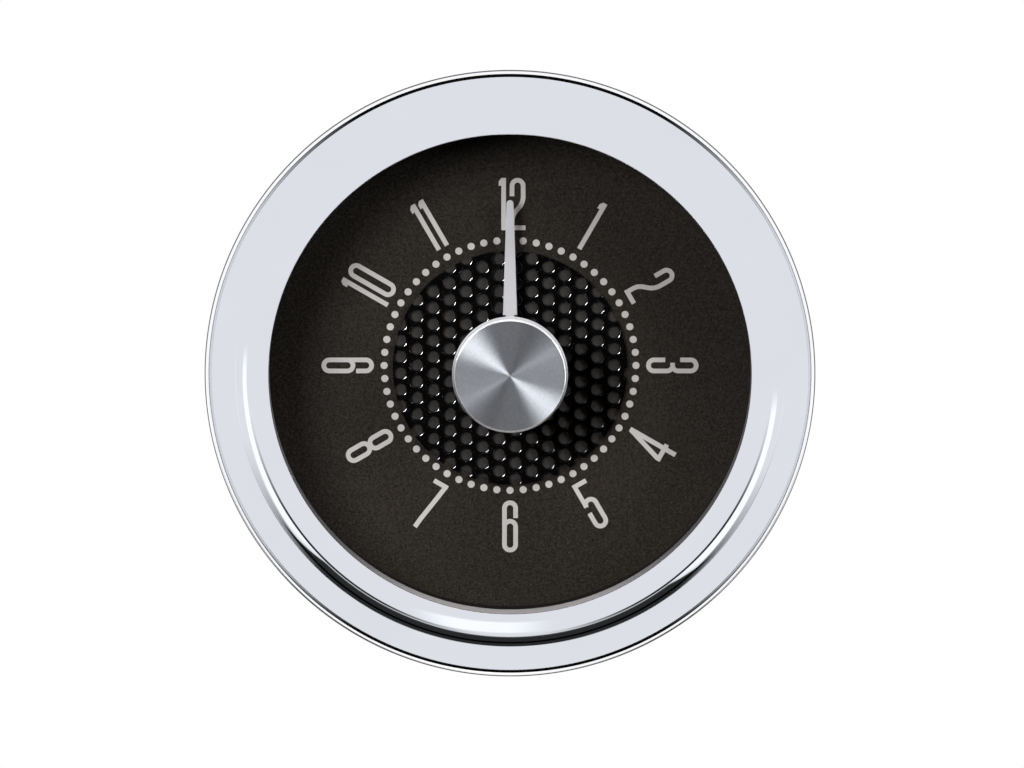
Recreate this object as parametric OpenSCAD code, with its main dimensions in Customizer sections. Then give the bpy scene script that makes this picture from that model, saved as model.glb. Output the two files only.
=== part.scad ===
// Round dashboard clock with a chrome bezel, an electronic stepping movement and
// a set knob that passes through the centre of the lens.
// The pieces are drawn looking straight at the dial: x to 3 o'clock, y to
// 12 o'clock and z towards the viewer, with z = 0 on the face of the dash panel.
// face_forward() then stands the clock up, with its dial towards -Y.

/* [Bezel] */
// Outside diameter of the chrome bezel
bezel_d = 101.6; // [100:0.1:110]
// Height of the bezel's crown above the dash panel
bezel_h = 4; // [3.6:0.1:6]
// Height of the flat outer ring above the dash panel
flat_h = 2.6; // [2.3:0.1:3.4]
// Fall of the flat outer ring from its inner to its outer edge
flat_fall = 0.15; // [0:0.05:0.4]
// Diameter of the opening in the bezel
aperture_d = 80.2; // [74:0.1:80.6]
// Width of the rounded bead round the opening
bead_w = 3.9; // [3:0.1:4.4]
// Radius of the bead's rounded crown
bead_r = 4.2; // [4:0.1:6]
// Distance of the crown's highest line from the opening
crown_in = 2.5; // [1.5:0.1:3]
// Width of the sloping face outside the bead
slope_w = 2; // [1.2:0.1:2.6]
// Width of the rolled outer rim
rim_w = 0.8; // [0.6:0.05:1.2]
// Height of the rolled outer rim
rim_h = 2.4; // [1.8:0.1:2.6]
// How far the foot of the rim is drawn in behind its widest edge
rim_draft = 0.4; // [0:0.05:0.4]
// Width of the groove inside the rim
groove_w = 0.35; // [0.2:0.05:0.6]
// Depth of the groove inside the rim
groove_depth = 0.6; // [0.3:0.1:1]
// Depth of the chrome collar behind the dash panel
collar_depth = 2.2; // [1.5:0.1:4]

/* [Case] */
// Outside diameter of the case, for a 3 3/8 inch hole
case_d = 85.2; // [84.8:0.1:85.4]
// Wall of the case
case_wall = 0.9; // [0.7:0.1:1]
// Depth of the case behind the dash panel
case_depth = 44; // [42.5:0.5:60]
// Outside diameter of the flange that the bezel covers
flange_d = 90.8; // [90.2:0.1:91.4]
// Thickness of the flange
flange_t = 0.9; // [0.7:0.1:1.1]
// Inside diameter of the ledge that carries the dial
ledge_d = 75; // [72:0.5:76]
// Thickness of the ledge
ledge_t = 1.6; // [1.4:0.1:2.4]
// Thickness of the rear cover
cover_t = 1.5; // [1.2:0.1:3]
// Height of the rim that locates the rear cover
cover_rim_h = 3; // [2:0.5:5]
// Number of screws that hold the rear cover
cover_screw_count = 4; // [3:1:6]
// Diameter of the circle of rear cover screws
cover_screw_pcd = 76; // [75:0.5:77]
// Length of the bosses for the rear cover screws
cover_boss_l = 8; // [6:0.5:9]
// Number of screws that hold the bezel to the case
bezel_screw_count = 6; // [4:1:8]

/* [Lens and dial] */
// Thickness of the rubber ring in front of the lens
gasket_t = 0.6; // [0.4:0.1:1]
// Thickness of the lens
lens_t = 1.6; // [1.2:0.1:2.2]
// Distance from the lens to the dial
dial_gap = 5.6; // [5.4:0.1:9]
// Thickness of the dial
dial_t = 0.8; // [0.6:0.1:1.2]
// Diameter of the perforated disc
disc_d = 39.2; // [36:0.1:41]
// Thickness of the perforated disc
disc_t = 0.6; // [0.4:0.05:0.9]
// How far the perforated disc sits below the middle of the dial
disc_low = 0.35; // [0:0.05:0.6]
// Diameter of each perforation
perf_d = 1.97; // [1.4:0.01:2.2]
// Distance from one perforation to the next in a column
perf_pitch = 2.745; // [2.6:0.005:4]
// Place of one perforation, right of and above the disc's middle
perf_start = [0.84, 0.485];

/* [Hands] */
// Length of the minute hand from the axis to its tip
minute_l = 28; // [24:0.1:34]
// Length of the hour hand from the axis to its tip
hour_l = 20; // [15:0.1:26]
// Width of a hand's blade at its root
blade_w = 2.36; // [1.8:0.02:3]
// Width of a hand's blade at its tip
tip_w = 1.18; // [0.8:0.02:1.6]
// Distance from the axis to the root of the blades
blade_root = 8.75; // [6:0.05:10]
// Width of the neck between blade and hub
neck_w = 1.44; // [1:0.02:1.8]
// Thickness of a hand
hand_t = 0.45; // [0.3:0.05:0.6]
// Gap between the hour hand and the minute hand
hand_gap = 0.35; // [0.3:0.05:0.6]
// Gap between the perforated disc and the hour hand
hour_gap = 0.65; // [0.4:0.05:0.9]

/* [Set knob] */
// Diameter of the set knob
knob_d = 19.2; // [16:0.1:24]
// Diameter of the knob's turned face
knob_face_d = 18.2; // [14:0.1:18.6]
// Height of the knob
knob_h = 5.6; // [5.2:0.1:9]
// Height of the bevel at the edge of the face
knob_bevel_h = 1.1; // [0.5:0.1:1.4]
// Height of the straight edge behind the bevel
knob_edge_h = 2.1; // [0.6:0.1:2.4]
// Diameter of the knob's neck
knob_neck_d = 12.4; // [11:0.1:14]
// Clear height between the bush and the knob
knob_clear = 1.6; // [1.2:0.1:3]
// Distance that the knob is pushed in to set the hands
knob_travel = 0.8; // [0.4:0.1:0.8]
// Diameter of the knob's stem
stem_d = 3; // [2.4:0.1:3.4]
// Diameter of the bush's barrel in the lens
bush_d = 5.2; // [4.6:0.1:6]
// Diameter of the bush's flange and nut
bush_flange_d = 8.6; // [7.6:0.1:10]
// Thickness of the bush's flange
bush_flange_t = 0.8; // [0.6:0.1:1.2]
// Thickness of the nut behind the lens
bush_nut_t = 0.6; // [0.4:0.1:0.8]
// Wire diameter of the return spring
spring_wire = 0.45; // [0.3:0.05:0.5]
// Mean diameter of the return spring
spring_d = 5.8; // [5.5:0.1:6.2]
// Number of turns of the return spring
spring_turns = 4; // [3:1:5]

/* [Gears] */
// Module of all the gears, the pitch diameter for each tooth
gear_module = 0.4; // [0.36:0.01:0.42]
// Pressure angle of the teeth
pressure_angle = 25; // [24:0.5:27]
// Play between meshing teeth
backlash = 0.08; // [0.06:0.01:0.12]
// Thickness of the larger wheels
wheel_t = 1; // [0.8:0.1:1.2]
// Teeth on the cannon pinion
cannon_teeth = 15;
// Teeth on the minute wheel
minute_teeth = 45;
// Teeth on the minute wheel's pinion
minute_pinion_teeth = 12;
// Teeth on the hour wheel
hour_teeth = 48;
// Teeth on the centre wheel
centre_teeth = 72;
// Teeth on the intermediate pinion
inter_pinion_teeth = 12;
// Teeth on the intermediate wheel
inter_teeth = 60;
// Teeth on the rotor's pinion
rotor_teeth = 12;

/* [Movement] */
// Thickness of the movement's plates
plate_t = 1.2; // [1:0.1:1.6]
// Distance between the movement's plates
movement_gap = 9.8; // [9.8:0.1:12]
// Diameter of the rear plate
rear_plate_d = 70; // [68:0.5:72]
// Diameter of the pillars between the plates
pillar_d = 4; // [3.4:0.1:4.4]
// Diameter of the spacers under the circuit boards
spacer_d = 4; // [3.6:0.1:4.6]
// Height of the spacers between light board and carrier plate
bush_h = 1.2; // [1.2:0.1:1.8]
// Height of the spacers between rear plate and circuit board
standoff_h = 3; // [2:0.1:4]
// Thickness of the circuit boards
board_t = 1.6; // [1.2:0.1:1.6]
// Diameter of the main circuit board
board_d = 76.8; // [76.2:0.1:78]
// Diameter of the opening in the light board
light_inner_d = 51; // [50:0.5:53]
// Number of lamps behind the dial
lamp_count = 12; // [6:1:16]
// Diameter of the rotor's magnet
magnet_d = 6.4; // [5:0.1:7]
// Diameter of the coil
coil_d = 5.8; // [4.8:0.1:6]
// Length of the coil
coil_l = 16; // [12:0.5:17]

/* [Rear] */
// Diameter of the circle of mounting studs
stud_pcd = 50.8; // [46:0.1:54]
// Thread diameter of the mounting studs
stud_d = 4; // [3:0.1:4.6]
// Free length of the mounting studs
stud_l = 14; // [8:0.5:25]
// Diameter of the studs' shoulders, under their nuts
shoulder_d = 5; // [4.8:0.1:6]
// Thickness of the nuts on the shoulders
stud_nut_t = 2.4; // [2:0.1:4]
// Width of the wiring socket
socket_w = 18; // [14:0.5:20]
// Height of the wiring socket
socket_h = 11; // [9:0.5:12]
// Wall of the wiring socket
socket_wall = 1.2; // [1:0.1:1.6]
// How far the wiring socket stands out of the rear cover
socket_proud = 4.5; // [3:0.5:8]
// Depth of the wiring socket's mouth
socket_depth = 11; // [10:0.5:12]
// Number of contacts in the wiring socket
contact_count = 4; // [3:1:5]

/* [Hidden] */
$fn = 96;

// Overshoot of a cutting tool past the faces that it cuts
cut = 1;
// Radial play between the case and what is stacked inside it
stack_play = 0.15;
// Radial play of a shaft in its bearing
bearing_play = 0.05;
// Radial play of a screw or a pin in its hole
hole_play = 0.1;
// Play between pieces that rest on each other and move apart
rest_play = 0.05;

// Heights, from the front to the rear
lip_h = bezel_h - bead_r + sqrt(bead_r * bead_r - crown_in * crown_in);
collar_end = -collar_depth;
lens_front = collar_end - gasket_t;
lens_back = lens_front - lens_t;
dial_front = lens_back - dial_gap;
dial_back = dial_front - dial_t;
ledge_back = dial_back - ledge_t;
light_back = ledge_back - board_t;
carrier_front = light_back - bush_h;
carrier_back = carrier_front - plate_t;
rear_plate_front = carrier_back - movement_gap;
rear_plate_back = rear_plate_front - plate_t;
board_front = rear_plate_back - standoff_h;
board_back = board_front - board_t;
case_end = -case_depth;
cover_back = case_end - cover_t;

// Radii of the bezel and the case
bezel_r = bezel_d / 2;
aperture_r = aperture_d / 2;
case_r = case_d / 2;
case_bore_r = case_r - case_wall;
stack_r = case_bore_r - stack_play;
bead_edge_r = aperture_r + bead_w;
slope_edge_r = bead_edge_r + slope_w;
rim_in_r = bezel_r - rim_w;
seat_in_r = flange_d / 2 + stack_play;
bead_edge_h = bezel_h - bead_r + sqrt(bead_r * bead_r - (bead_w - crown_in) * (bead_w - crown_in));
flange_rear = rest_play;
flange_front = flange_rear + flange_t;
// Countersunk screws through the flange
bezel_screw_d = 1.4;
bezel_screw_head_d = 2.2;
bezel_screw_r = (case_r + flange_d / 2) / 2;
bezel_screw_l = 1.8;
bezel_screw_places = round_places(bezel_screw_count, bezel_screw_r, 0);

// How far the gasket and the spacer ring stand back from the opening
gasket_in = 0.2;
spacer_in = 0.5;
// Least width left between a perforation and the disc's centre hole
perf_edge = 0.3;

// Hands and the hub under the knob
hour_back = dial_front + disc_t + hour_gap;
hour_front = hour_back + hand_t;
minute_back = hour_front + hand_gap;
minute_front = minute_back + hand_t;
hub_lift = 0.15;
hub_front = minute_front + hub_lift;
hub_r = 3;
arbor_r = 1;
cannon_r = 1.6;
pipe_bore_r = cannon_r + bearing_play;
pipe_r = 2.4;
dial_hole_r = pipe_r + 0.5;
disc_hole_r = pipe_r + 0.8;

// Set knob, its bush and its friction drive
bush_front = lens_front + bush_flange_t;
bush_tube_h = 1.4;
bush_tube_d = spring_d - spring_wire - 0.6;
bush_end = lens_back - bush_nut_t - 0.2;
knob_back = bush_front + knob_clear;
knob_face = knob_back + knob_h;
knob_pocket_d = spring_d + spring_wire + 0.6;
knob_pocket_h = knob_h * 0.5;
stem_seat = knob_back + knob_pocket_h;
stem_grip = 1.4;
spring_seat = 0.02;
washer_d = 5.8;
washer_t = 0.3;
washer_front = bush_end - rest_play;
washer_back = washer_front - washer_t;
clip_t = 0.3;
clip_front = washer_back - rest_play;
clip_back = clip_front - clip_t;
clip_groove_r = stem_d / 2 - 0.4;
clip_r = washer_d / 2 - 0.4;
clip_mouth = 1.6;
pad_front = clip_back - rest_play;
pad_back = hub_front + knob_travel + 0.1;
pad_d = 5;
pad_seat = 0.2;

// Gap between the hour wheel and the dial
end_play = 0.5;
// Gap between a wheel and the plate beside it
wheel_gap = 0.8;
// Gap between the centre wheel and the intermediate wheel
train_gap = 1.2;
// Gap between the intermediate wheel and the stator
yoke_gap = 1.8;
// How far a pinion stands past the wheel that it meets
pinion_over = 0.4;
// How far the magnet stands out of the stator
magnet_over = 0.6;
// How far a pivot reaches into its plate
pivot_in = 0.8;
// Width of the closed rim of a spoked wheel
wheel_band = 1.2;

// Heights of the gears in front of and behind the carrier plate
hour_wheel_front = dial_back - end_play;
hour_wheel_back = hour_wheel_front - wheel_t;
minute_wheel_back = carrier_front + wheel_gap;
minute_wheel_t = 0.8;
minute_wheel_front = minute_wheel_back + minute_wheel_t;
cannon_front = minute_wheel_front + pinion_over;
centre_wheel_front = carrier_back - wheel_gap;
centre_wheel_back = centre_wheel_front - wheel_t;
inter_wheel_front = centre_wheel_back - train_gap;
inter_wheel_back = inter_wheel_front - wheel_t;
stator_front = inter_wheel_back - yoke_gap;
stator_t = 1.8;
stator_back = stator_front - stator_t;
arbor_d_small = 1.2;

// Centre distances and places of the gears
motion_distance = (cannon_teeth + minute_teeth) * gear_module / 2;
inter_distance = (centre_teeth + inter_pinion_teeth) * gear_module / 2;
rotor_distance = (inter_teeth + rotor_teeth) * gear_module / 2;
motion_dir = 150;
inter_dir = 270;
rotor_dir = 340;
motion_place = polar(motion_distance, motion_dir);
inter_place = polar(inter_distance, inter_dir);
rotor_place = inter_place + polar(rotor_distance, rotor_dir);

// Pillars, as an angle and a distance from the axis
pillar_polar = [[45, 30], [140, 30], [215, 30], [312, 33]];
pillar_places = [for (p = pillar_polar) polar(p[1], p[0])];
board_screw_d = 2;
board_screw_head_d = 3.8;
board_screw_head_t = 1.2;
board_screw_in = 3;
// Screws that hold the light board and the carrier plate to the ledge
carrier_screw_count = 3;
carrier_screw_r = (ledge_d / 2 + case_bore_r) / 2;
carrier_places = round_places(carrier_screw_count, carrier_screw_r, 90);
carrier_screw_d = 2;
carrier_screw_head_d = 3.4;
carrier_screw_end = dial_back - 0.3;
// Pins that carry current to the light board
pin_d = 0.7;
pin_places = [[-36.6, -1.3], [-36.6, 1.3]];
pin_window_d = 6;
pin_over = 0.4;

// Lamps, diffuser and light board
diffuser_t = 0.6;
lamp_t = 0.8;
lamp_w = 2.8;
lamp_l = 3.4;
lamp_in = 1.5;
lamp_r = light_inner_d / 2 + lamp_in + lamp_l / 2;

// Coil and stator
coil_x = 30;
coil_y = -5;
coil_flange_t = 1;
core_w = 2;
bobbin_r = core_w / 2 + 0.9;
winding_d = coil_d - 0.8;
stator_bar_w = 4;
stator_ring_w = 2.5;
magnet_gap = 0.5;
stator_corner = [21, coil_y + coil_l / 2 + stator_bar_w / 2];
stator_top = [coil_x, stator_corner[1]];
stator_low = [coil_x, coil_y - coil_l / 2 - stator_bar_w / 2 - magnet_gap];
// Place of a post along the stator's lower leg, from the rotor to the coil
post_along = 0.65;
stator_posts_at = [stator_corner, rotor_place + post_along * (stator_low - rotor_place)];
post_d = 3;

// Components on the rear of the main circuit board: place and size
chip_at = [0, 12];
chip_size = [7, 7, 1];
crystal_at = [-13, 6];
crystal_size = [11, 4.6, 3.6];
capacitor_places = [[15, 10], [-15, -7]];
capacitor_d = 6.3;
capacitor_h = 7.5;
regulator_at = [22, -6];
regulator_size = [6.6, 9, 2.3];
socket_at = [0, -21];
socket_front = board_back;
socket_back = cover_back - socket_proud;
socket_floor = socket_back + socket_depth;
contact_w = 0.64;
contact_l = 4.5;
contact_pitch = (socket_w - 2 * socket_wall) / contact_count;
cover_play = 0.3;

// Rear cover screws and mounting studs
cover_screw_d = 2.5;
cover_screw_head_d = 5;
cover_screw_head_t = 1.6;
cover_screw_l = 6;
cover_boss_r = case_bore_r - cover_screw_pcd / 2 + 0.3;
cover_screw_places = round_places(cover_screw_count, cover_screw_pcd / 2, 45);
// Room past the end of a screw in a blind hole
screw_end_gap = 0.5;
// Chamfer round the rear cover
cover_chamfer = 0.5;
stud_places = round_places(2, stud_pcd / 2, 0);
stud_head_d = 8;
stud_head_t = 1.2;
stud_nut_w = 8;
shoulder_end = cover_back - stud_nut_t;
stud_end = shoulder_end - stud_l;

// Point at a distance and an angle from the axis
function polar(r, a) = [r * cos(a), r * sin(a)];

// Places spaced evenly on a circle, from a first angle
function round_places(count, r, first) =
    [for (i = [0 : count - 1]) polar(r, first + i * 360 / count)];

// Involute function of an angle, in degrees
function involute(a) = tan(a) * 180 / PI - a;

// Pitch, tip and root radius of a gear
function pitch_r(teeth) = teeth * gear_module / 2;
function tip_r(teeth) = pitch_r(teeth) + gear_module;
function root_r(teeth) = pitch_r(teeth) - 1.25 * gear_module;
function base_r(teeth) = pitch_r(teeth) * cos(pressure_angle);

// Angle from a tooth's middle to its flank at radius r
function flank(teeth, r) =
    90 / teeth - backlash / 4 / pitch_r(teeth) * 180 / PI
    + involute(pressure_angle) - involute(acos(min(1, base_r(teeth) / r)));

// Outline of the tooth whose middle is at an angle
function tooth(teeth, middle) =
    let (steps = 3,
         low = max(root_r(teeth), base_r(teeth)),
         radii = [for (i = [0 : steps]) low + (tip_r(teeth) - low) * i / steps],
         foot = low > root_r(teeth) ? [root_r(teeth)] : [])
    concat(
        [for (r = foot) polar(r, middle - flank(teeth, low))],
        [for (r = radii) polar(r, middle - flank(teeth, r))],
        [for (i = [steps : -1 : 0]) polar(radii[i], middle + flank(teeth, radii[i]))],
        [for (r = foot) polar(r, middle + flank(teeth, low))]);

// Turn that meshes a gear with one that stands at angle a, seen from its mate
function meshed(mate_teeth, mate_turn, a, teeth) =
    a + 180 + 180 / teeth - (mate_turn - a) * mate_teeth / teeth;

minute_turn = meshed(cannon_teeth, 0, motion_dir, minute_teeth);
hour_turn = meshed(minute_pinion_teeth, minute_turn, motion_dir + 180, hour_teeth);
inter_turn = meshed(centre_teeth, 0, inter_dir, inter_pinion_teeth);
rotor_turn = meshed(inter_teeth, inter_turn, rotor_dir, rotor_teeth);

// Stands the drawing up so that the dial faces -Y
module face_forward() {
    rotate([90, 0, 0]) children();
}

// Solid disc about the axis between two heights
module disc(r, back, front) {
    translate([0, 0, back]) cylinder(r = r, h = front - back);
}

// Hole of radius r through everything between two heights
module bore(r, back, front) {
    disc(r, back - cut, front + cut);
}

// Flat ring about the axis between two heights
module ring(outer_r, inner_r, back, front) {
    difference() {
        disc(outer_r, back, front);
        bore(inner_r, back, front);
    }
}

// Block whose middle is at a place in the plan, between two heights
module block(place, width, height, back, front) {
    translate([place[0] - width / 2, place[1] - height / 2, back])
        cube([width, height, front - back]);
}

// Children repeated at each place in the plan
module at(places) {
    for (p = places) translate([p[0], p[1], 0]) children();
}

// Flat bar with round ends between two points in the plan
module bar(from, to, width) {
    run = to - from;
    translate(from) circle(d = width);
    translate(to) circle(d = width);
    translate(from) rotate(atan2(run[1], run[0]))
        translate([0, -width / 2]) square([norm(run), width]);
}

// Toothed wheel between two heights, turned by an angle
module gear(teeth, turn, back, front) {
    translate([0, 0, back]) linear_extrude(front - back)
        polygon([for (k = [0 : teeth - 1]) each tooth(teeth, turn + 360 * k / teeth)]);
}

// Openings between the spokes of a wheel, from its hub to the rim behind its teeth
module spoke_windows(hub, teeth, spokes, back, front) {
    outer_r = root_r(teeth) - wheel_band;
    difference() {
        ring(outer_r, hub, back - cut, front + cut);
        for (i = [0 : spokes - 1]) rotate(i * 360 / spokes)
            translate([0, -wheel_band / 2, back - 2 * cut])
                cube([outer_r + cut, wheel_band, front - back + 4 * cut]);
    }
}

// Outline of a hand: hub, neck and a blade that tapers to a round tip
module hand_outline(length) {
    tip_centre = length - tip_w / 2;
    circle(r = hub_r);
    translate([-neck_w / 2, 0]) square([neck_w, blade_root + neck_w]);
    polygon([
        [-blade_w / 2, blade_root], [blade_w / 2, blade_root],
        [tip_w / 2, tip_centre], [-tip_w / 2, tip_centre]
    ]);
    translate([0, tip_centre]) circle(d = tip_w);
}

// Half section of the bezel's front, before the rear is cut out of it
module bezel_front_section() {
    groove_h = flat_h - flat_fall - groove_depth;
    rim_foot_r = bezel_r - rim_w / 2 - rim_draft;
    translate([rim_in_r - groove_w - cut, 0])
        square([rim_foot_r - rim_in_r + groove_w + cut, groove_h]);
    polygon([
        [aperture_r, 0], [rim_foot_r, 0], [rim_in_r - groove_w, rim_w / 2],
        [rim_in_r - groove_w, flat_h - flat_fall], [slope_edge_r, flat_h],
        [bead_edge_r, bead_edge_h], [aperture_r, flat_h]
    ]);
    intersection() {
        translate([aperture_r + crown_in, bezel_h - bead_r]) circle(r = bead_r);
        translate([aperture_r, 0]) square([bead_w, bezel_h]);
    }
    translate([rim_foot_r, rim_w / 2]) circle(d = rim_w);
    translate([bezel_r - rim_w / 2, rim_h - rim_w / 2]) circle(d = rim_w);
    polygon([
        [rim_in_r - cut, rim_w / 2], [rim_foot_r + rim_w / 2, rim_w / 2],
        [bezel_r, rim_h - rim_w / 2], [rim_in_r, rim_h - rim_w / 2]
    ]);
}

module bezel() color("gainsboro") face_forward() difference() {
    rotate_extrude() difference() {
        union() {
            bezel_front_section();
            translate([aperture_r, collar_end])
                square([stack_r - aperture_r, collar_depth + flange_front]);
        }
        // room for the case's flange
        translate([stack_r, -cut]) square([seat_in_r - stack_r, flange_front + cut]);
    }
    at(bezel_screw_places)
        disc(bezel_screw_d / 2 + rest_play, 0, flange_rear + bezel_screw_l + hole_play);
}

module lens_gasket() color("black") face_forward()
    ring(stack_r, aperture_r + gasket_in, lens_front, collar_end);

module lens() color("lightcyan", 0.3) face_forward()
    ring(stack_r, bush_d / 2 + bearing_play, lens_back, lens_front);

module spacer_ring() color("#1c1a18") face_forward()
    ring(stack_r, aperture_r + spacer_in, dial_front, lens_back);

module dial_plate() color("#37322e") face_forward()
    ring(stack_r, dial_hole_r, dial_back, dial_front);

// Round piece of perforated sheet, whose staggered holes run out over its edge
module perforated_disc() color("#0b0b0c") face_forward() difference() {
    translate([0, -disc_low, 0]) disc(disc_d / 2, dial_front, dial_front + disc_t);
    bore(disc_hole_r, dial_front, dial_front + disc_t);
    span = ceil(disc_d / 2 / perf_pitch) + 1;
    for (column = [-span : span], row = [-span : span]) {
        stagger = column % 2 == 0 ? 0 : perf_pitch / 2;
        place = perf_start + [column * perf_pitch, row * perf_pitch + stagger];
        middle = place - [0, disc_low];
        on_disc = norm(place) < disc_d / 2 + perf_d / 4;
        off_hub = norm(middle) > disc_hole_r + perf_d / 2 + perf_edge;
        if (on_disc && off_hub) at([middle]) bore(perf_d / 2, dial_front, dial_front + disc_t);
    }
}

module hour_hand() color("gainsboro") face_forward() difference() {
    translate([0, 0, hour_back]) linear_extrude(hand_t) hand_outline(hour_l);
    bore(pipe_r, hour_back, hour_front);
}

module minute_hand() color("gainsboro") face_forward() difference() {
    union() {
        translate([0, 0, minute_back]) linear_extrude(hand_t) hand_outline(minute_l);
        disc(pad_d / 2, minute_back, hub_front);
    }
    bore(cannon_r, minute_back, hub_front);
}

// Half section of the knob: turned face, bevel, straight edge and hollow underside
module knob_section() {
    knob_r = knob_d / 2;
    edge_back = knob_face - knob_bevel_h - knob_edge_h;
    hollow_r = edge_back - knob_back;
    difference() {
        polygon([
            [0, knob_back], [knob_r, knob_back], [knob_r, knob_face - knob_bevel_h],
            [knob_face_d / 2, knob_face], [0, knob_face]
        ]);
        translate([knob_neck_d / 2 + hollow_r, knob_back]) circle(r = hollow_r);
        translate([knob_neck_d / 2 + hollow_r, knob_back - cut]) square([knob_r, hollow_r + cut]);
    }
}

module set_knob() color("silver") face_forward() difference() {
    rotate_extrude() knob_section();
    disc(knob_pocket_d / 2, knob_back - cut, stem_seat);
    disc(stem_d / 2, knob_back, stem_seat + stem_grip);
}

module knob_stem() color("lightslategray") face_forward() difference() {
    disc(stem_d / 2, pad_front - pad_seat, stem_seat + stem_grip);
    ring(stem_d, clip_groove_r, clip_back, clip_front);
}

module knob_bush() color("darkgoldenrod") face_forward() difference() {
    union() {
        disc(bush_flange_d / 2, lens_front, bush_front);
        disc(bush_tube_d / 2, lens_front, bush_front + bush_tube_h);
        disc(bush_d / 2, bush_end, bush_front);
    }
    bore(stem_d / 2 + bearing_play, bush_end, bush_front + bush_tube_h);
}

module bush_nut() color("darkgoldenrod") face_forward() difference() {
    translate([0, 0, lens_back - bush_nut_t]) cylinder(d = bush_flange_d, h = bush_nut_t, $fn = 6);
    bore(bush_d / 2, lens_back - bush_nut_t, lens_back);
}

// Middle line of the return spring, from the bush's flange to the knob's pocket
spring_steps = 16;
spring_last = spring_turns * spring_steps;
spring_low = bush_front + spring_wire / 2 + spring_seat;
spring_rise = stem_seat - spring_wire / 2 - spring_seat - spring_low;
spring_line = [for (i = [0 : spring_last])
    [each polar(spring_d / 2, 360 * i / spring_steps), spring_low + spring_rise * i / spring_last]];
// Least gap between the spring's turns
echo(spring_gap = min([for (i = [0 : spring_last - spring_steps / 2])
    for (j = [i + spring_steps / 2 : spring_last])
        norm(spring_line[j] - spring_line[i])]) - spring_wire);

// Return spring: one wire wound round the bush
module knob_spring() color("silver") face_forward() {
    sides = 6;
    wire_r = spring_wire / 2;
    rings = [for (i = [0 : spring_last]) let (a = 360 * i / spring_steps)
        [for (k = [0 : sides - 1]) let (b = 360 * k / sides)
            spring_line[i] + wire_r * [cos(b) * cos(a), cos(b) * sin(a), sin(b)]]];
    skin = [for (i = [0 : spring_last - 1], k = [0 : sides - 1])
        let (p = i * sides + k, q = i * sides + (k + 1) % sides)
        each [[p, p + sides, q + sides], [p, q + sides, q]]];
    front_cap = [for (k = [sides - 1 : -1 : 0]) spring_last * sides + k];
    polyhedron([for (r = rings) each r], concat(skin, [[for (k = [0 : sides - 1]) k]], [front_cap]));
}

module thrust_washer() color("silver") face_forward()
    ring(washer_d / 2, stem_d / 2 + bearing_play, washer_back, washer_front);

module stem_clip() color("dimgray") face_forward() difference() {
    ring(clip_r, clip_groove_r, clip_back, clip_front);
    block([0, -clip_r], clip_mouth, 2 * clip_r, clip_back - cut, clip_front + cut);
}

module friction_pad() color("#202020") face_forward() difference() {
    disc(pad_d / 2, pad_back, pad_front);
    disc(stem_d / 2, pad_front - pad_seat, pad_front + cut);
}

module diffuser_ring() color("white") face_forward()
    ring(ledge_d / 2 - stack_play, light_inner_d / 2, dial_back - diffuser_t, dial_back);

module light_board() color("darkgreen") face_forward() difference() {
    ring(stack_r, light_inner_d / 2, light_back, ledge_back);
    at(carrier_places) bore(carrier_screw_d / 2 + hole_play, light_back, ledge_back);
    at(pin_places) bore(pin_d / 2, light_back, ledge_back);
}

module dial_lamps() color("ivory") face_forward() for (i = [0 : lamp_count - 1])
    rotate((i + 0.5) * 360 / lamp_count)
        block([lamp_r, 0], lamp_l, lamp_w, ledge_back, ledge_back + lamp_t);

module light_pins() color("goldenrod") face_forward() at(pin_places)
    disc(pin_d / 2, board_back - pin_over, ledge_back + pin_over);

// Arbor holes that both movement plates share
module pivot_holes(back, front) {
    bore(arbor_r + bearing_play, back, front);
    at([inter_place, rotor_place]) bore(arbor_d_small / 2 + bearing_play, back, front);
}

module carrier_plate() color("darkkhaki") face_forward() difference() {
    disc(stack_r, carrier_back, carrier_front);
    pivot_holes(carrier_back, carrier_front);
    at([motion_place]) bore(arbor_d_small / 2, carrier_back, carrier_front);
    at(pillar_places) bore(board_screw_d / 2 + hole_play, carrier_back, carrier_front);
    at(carrier_places) bore(carrier_screw_d / 2 + hole_play, carrier_back, carrier_front);
    at([(pin_places[0] + pin_places[1]) / 2]) bore(pin_window_d / 2, carrier_back, carrier_front);
}

module carrier_screws() color("silver") face_forward() at(carrier_places) {
    disc(carrier_screw_d / 2, carrier_back - board_screw_head_t / 2, carrier_screw_end);
    disc(carrier_screw_head_d / 2, carrier_back - board_screw_head_t, carrier_back);
}

module carrier_spacers() color("ivory") face_forward() at(carrier_places)
    ring(spacer_d / 2 - hole_play, carrier_screw_d / 2 + hole_play, carrier_front, light_back);

module minute_wheel_post() color("silver") face_forward() at([motion_place]) {
    disc(arbor_d_small / 2, carrier_back, dial_back - end_play);
    disc(arbor_d_small, carrier_front, minute_wheel_back - rest_play);
}

module cannon_pinion() color("gold") face_forward() difference() {
    union() {
        gear(cannon_teeth, 0, minute_wheel_back, cannon_front);
        disc(cannon_r, minute_wheel_back, hub_front);
    }
    bore(arbor_r, minute_wheel_back, hub_front);
}

module hour_wheel() color("gold") face_forward() difference() {
    union() {
        gear(hour_teeth, hour_turn, hour_wheel_back, hour_wheel_front);
        disc(pipe_r, hour_wheel_back, hour_front);
    }
    bore(pipe_bore_r, hour_wheel_back, hour_front);
    spoke_windows(pipe_r + wheel_band, hour_teeth, 4, hour_wheel_back, hour_wheel_front);
}

module minute_wheel() color("gold") face_forward() at([motion_place]) difference() {
    union() {
        gear(minute_teeth, minute_turn, minute_wheel_back, minute_wheel_front);
        gear(minute_pinion_teeth, minute_turn, minute_wheel_back, hour_wheel_front);
    }
    bore(arbor_d_small / 2 + bearing_play, minute_wheel_back, hour_wheel_front);
    hub = tip_r(minute_pinion_teeth) + wheel_band / 2;
    spoke_windows(hub, minute_teeth, 4, minute_wheel_back, minute_wheel_front);
}

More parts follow.
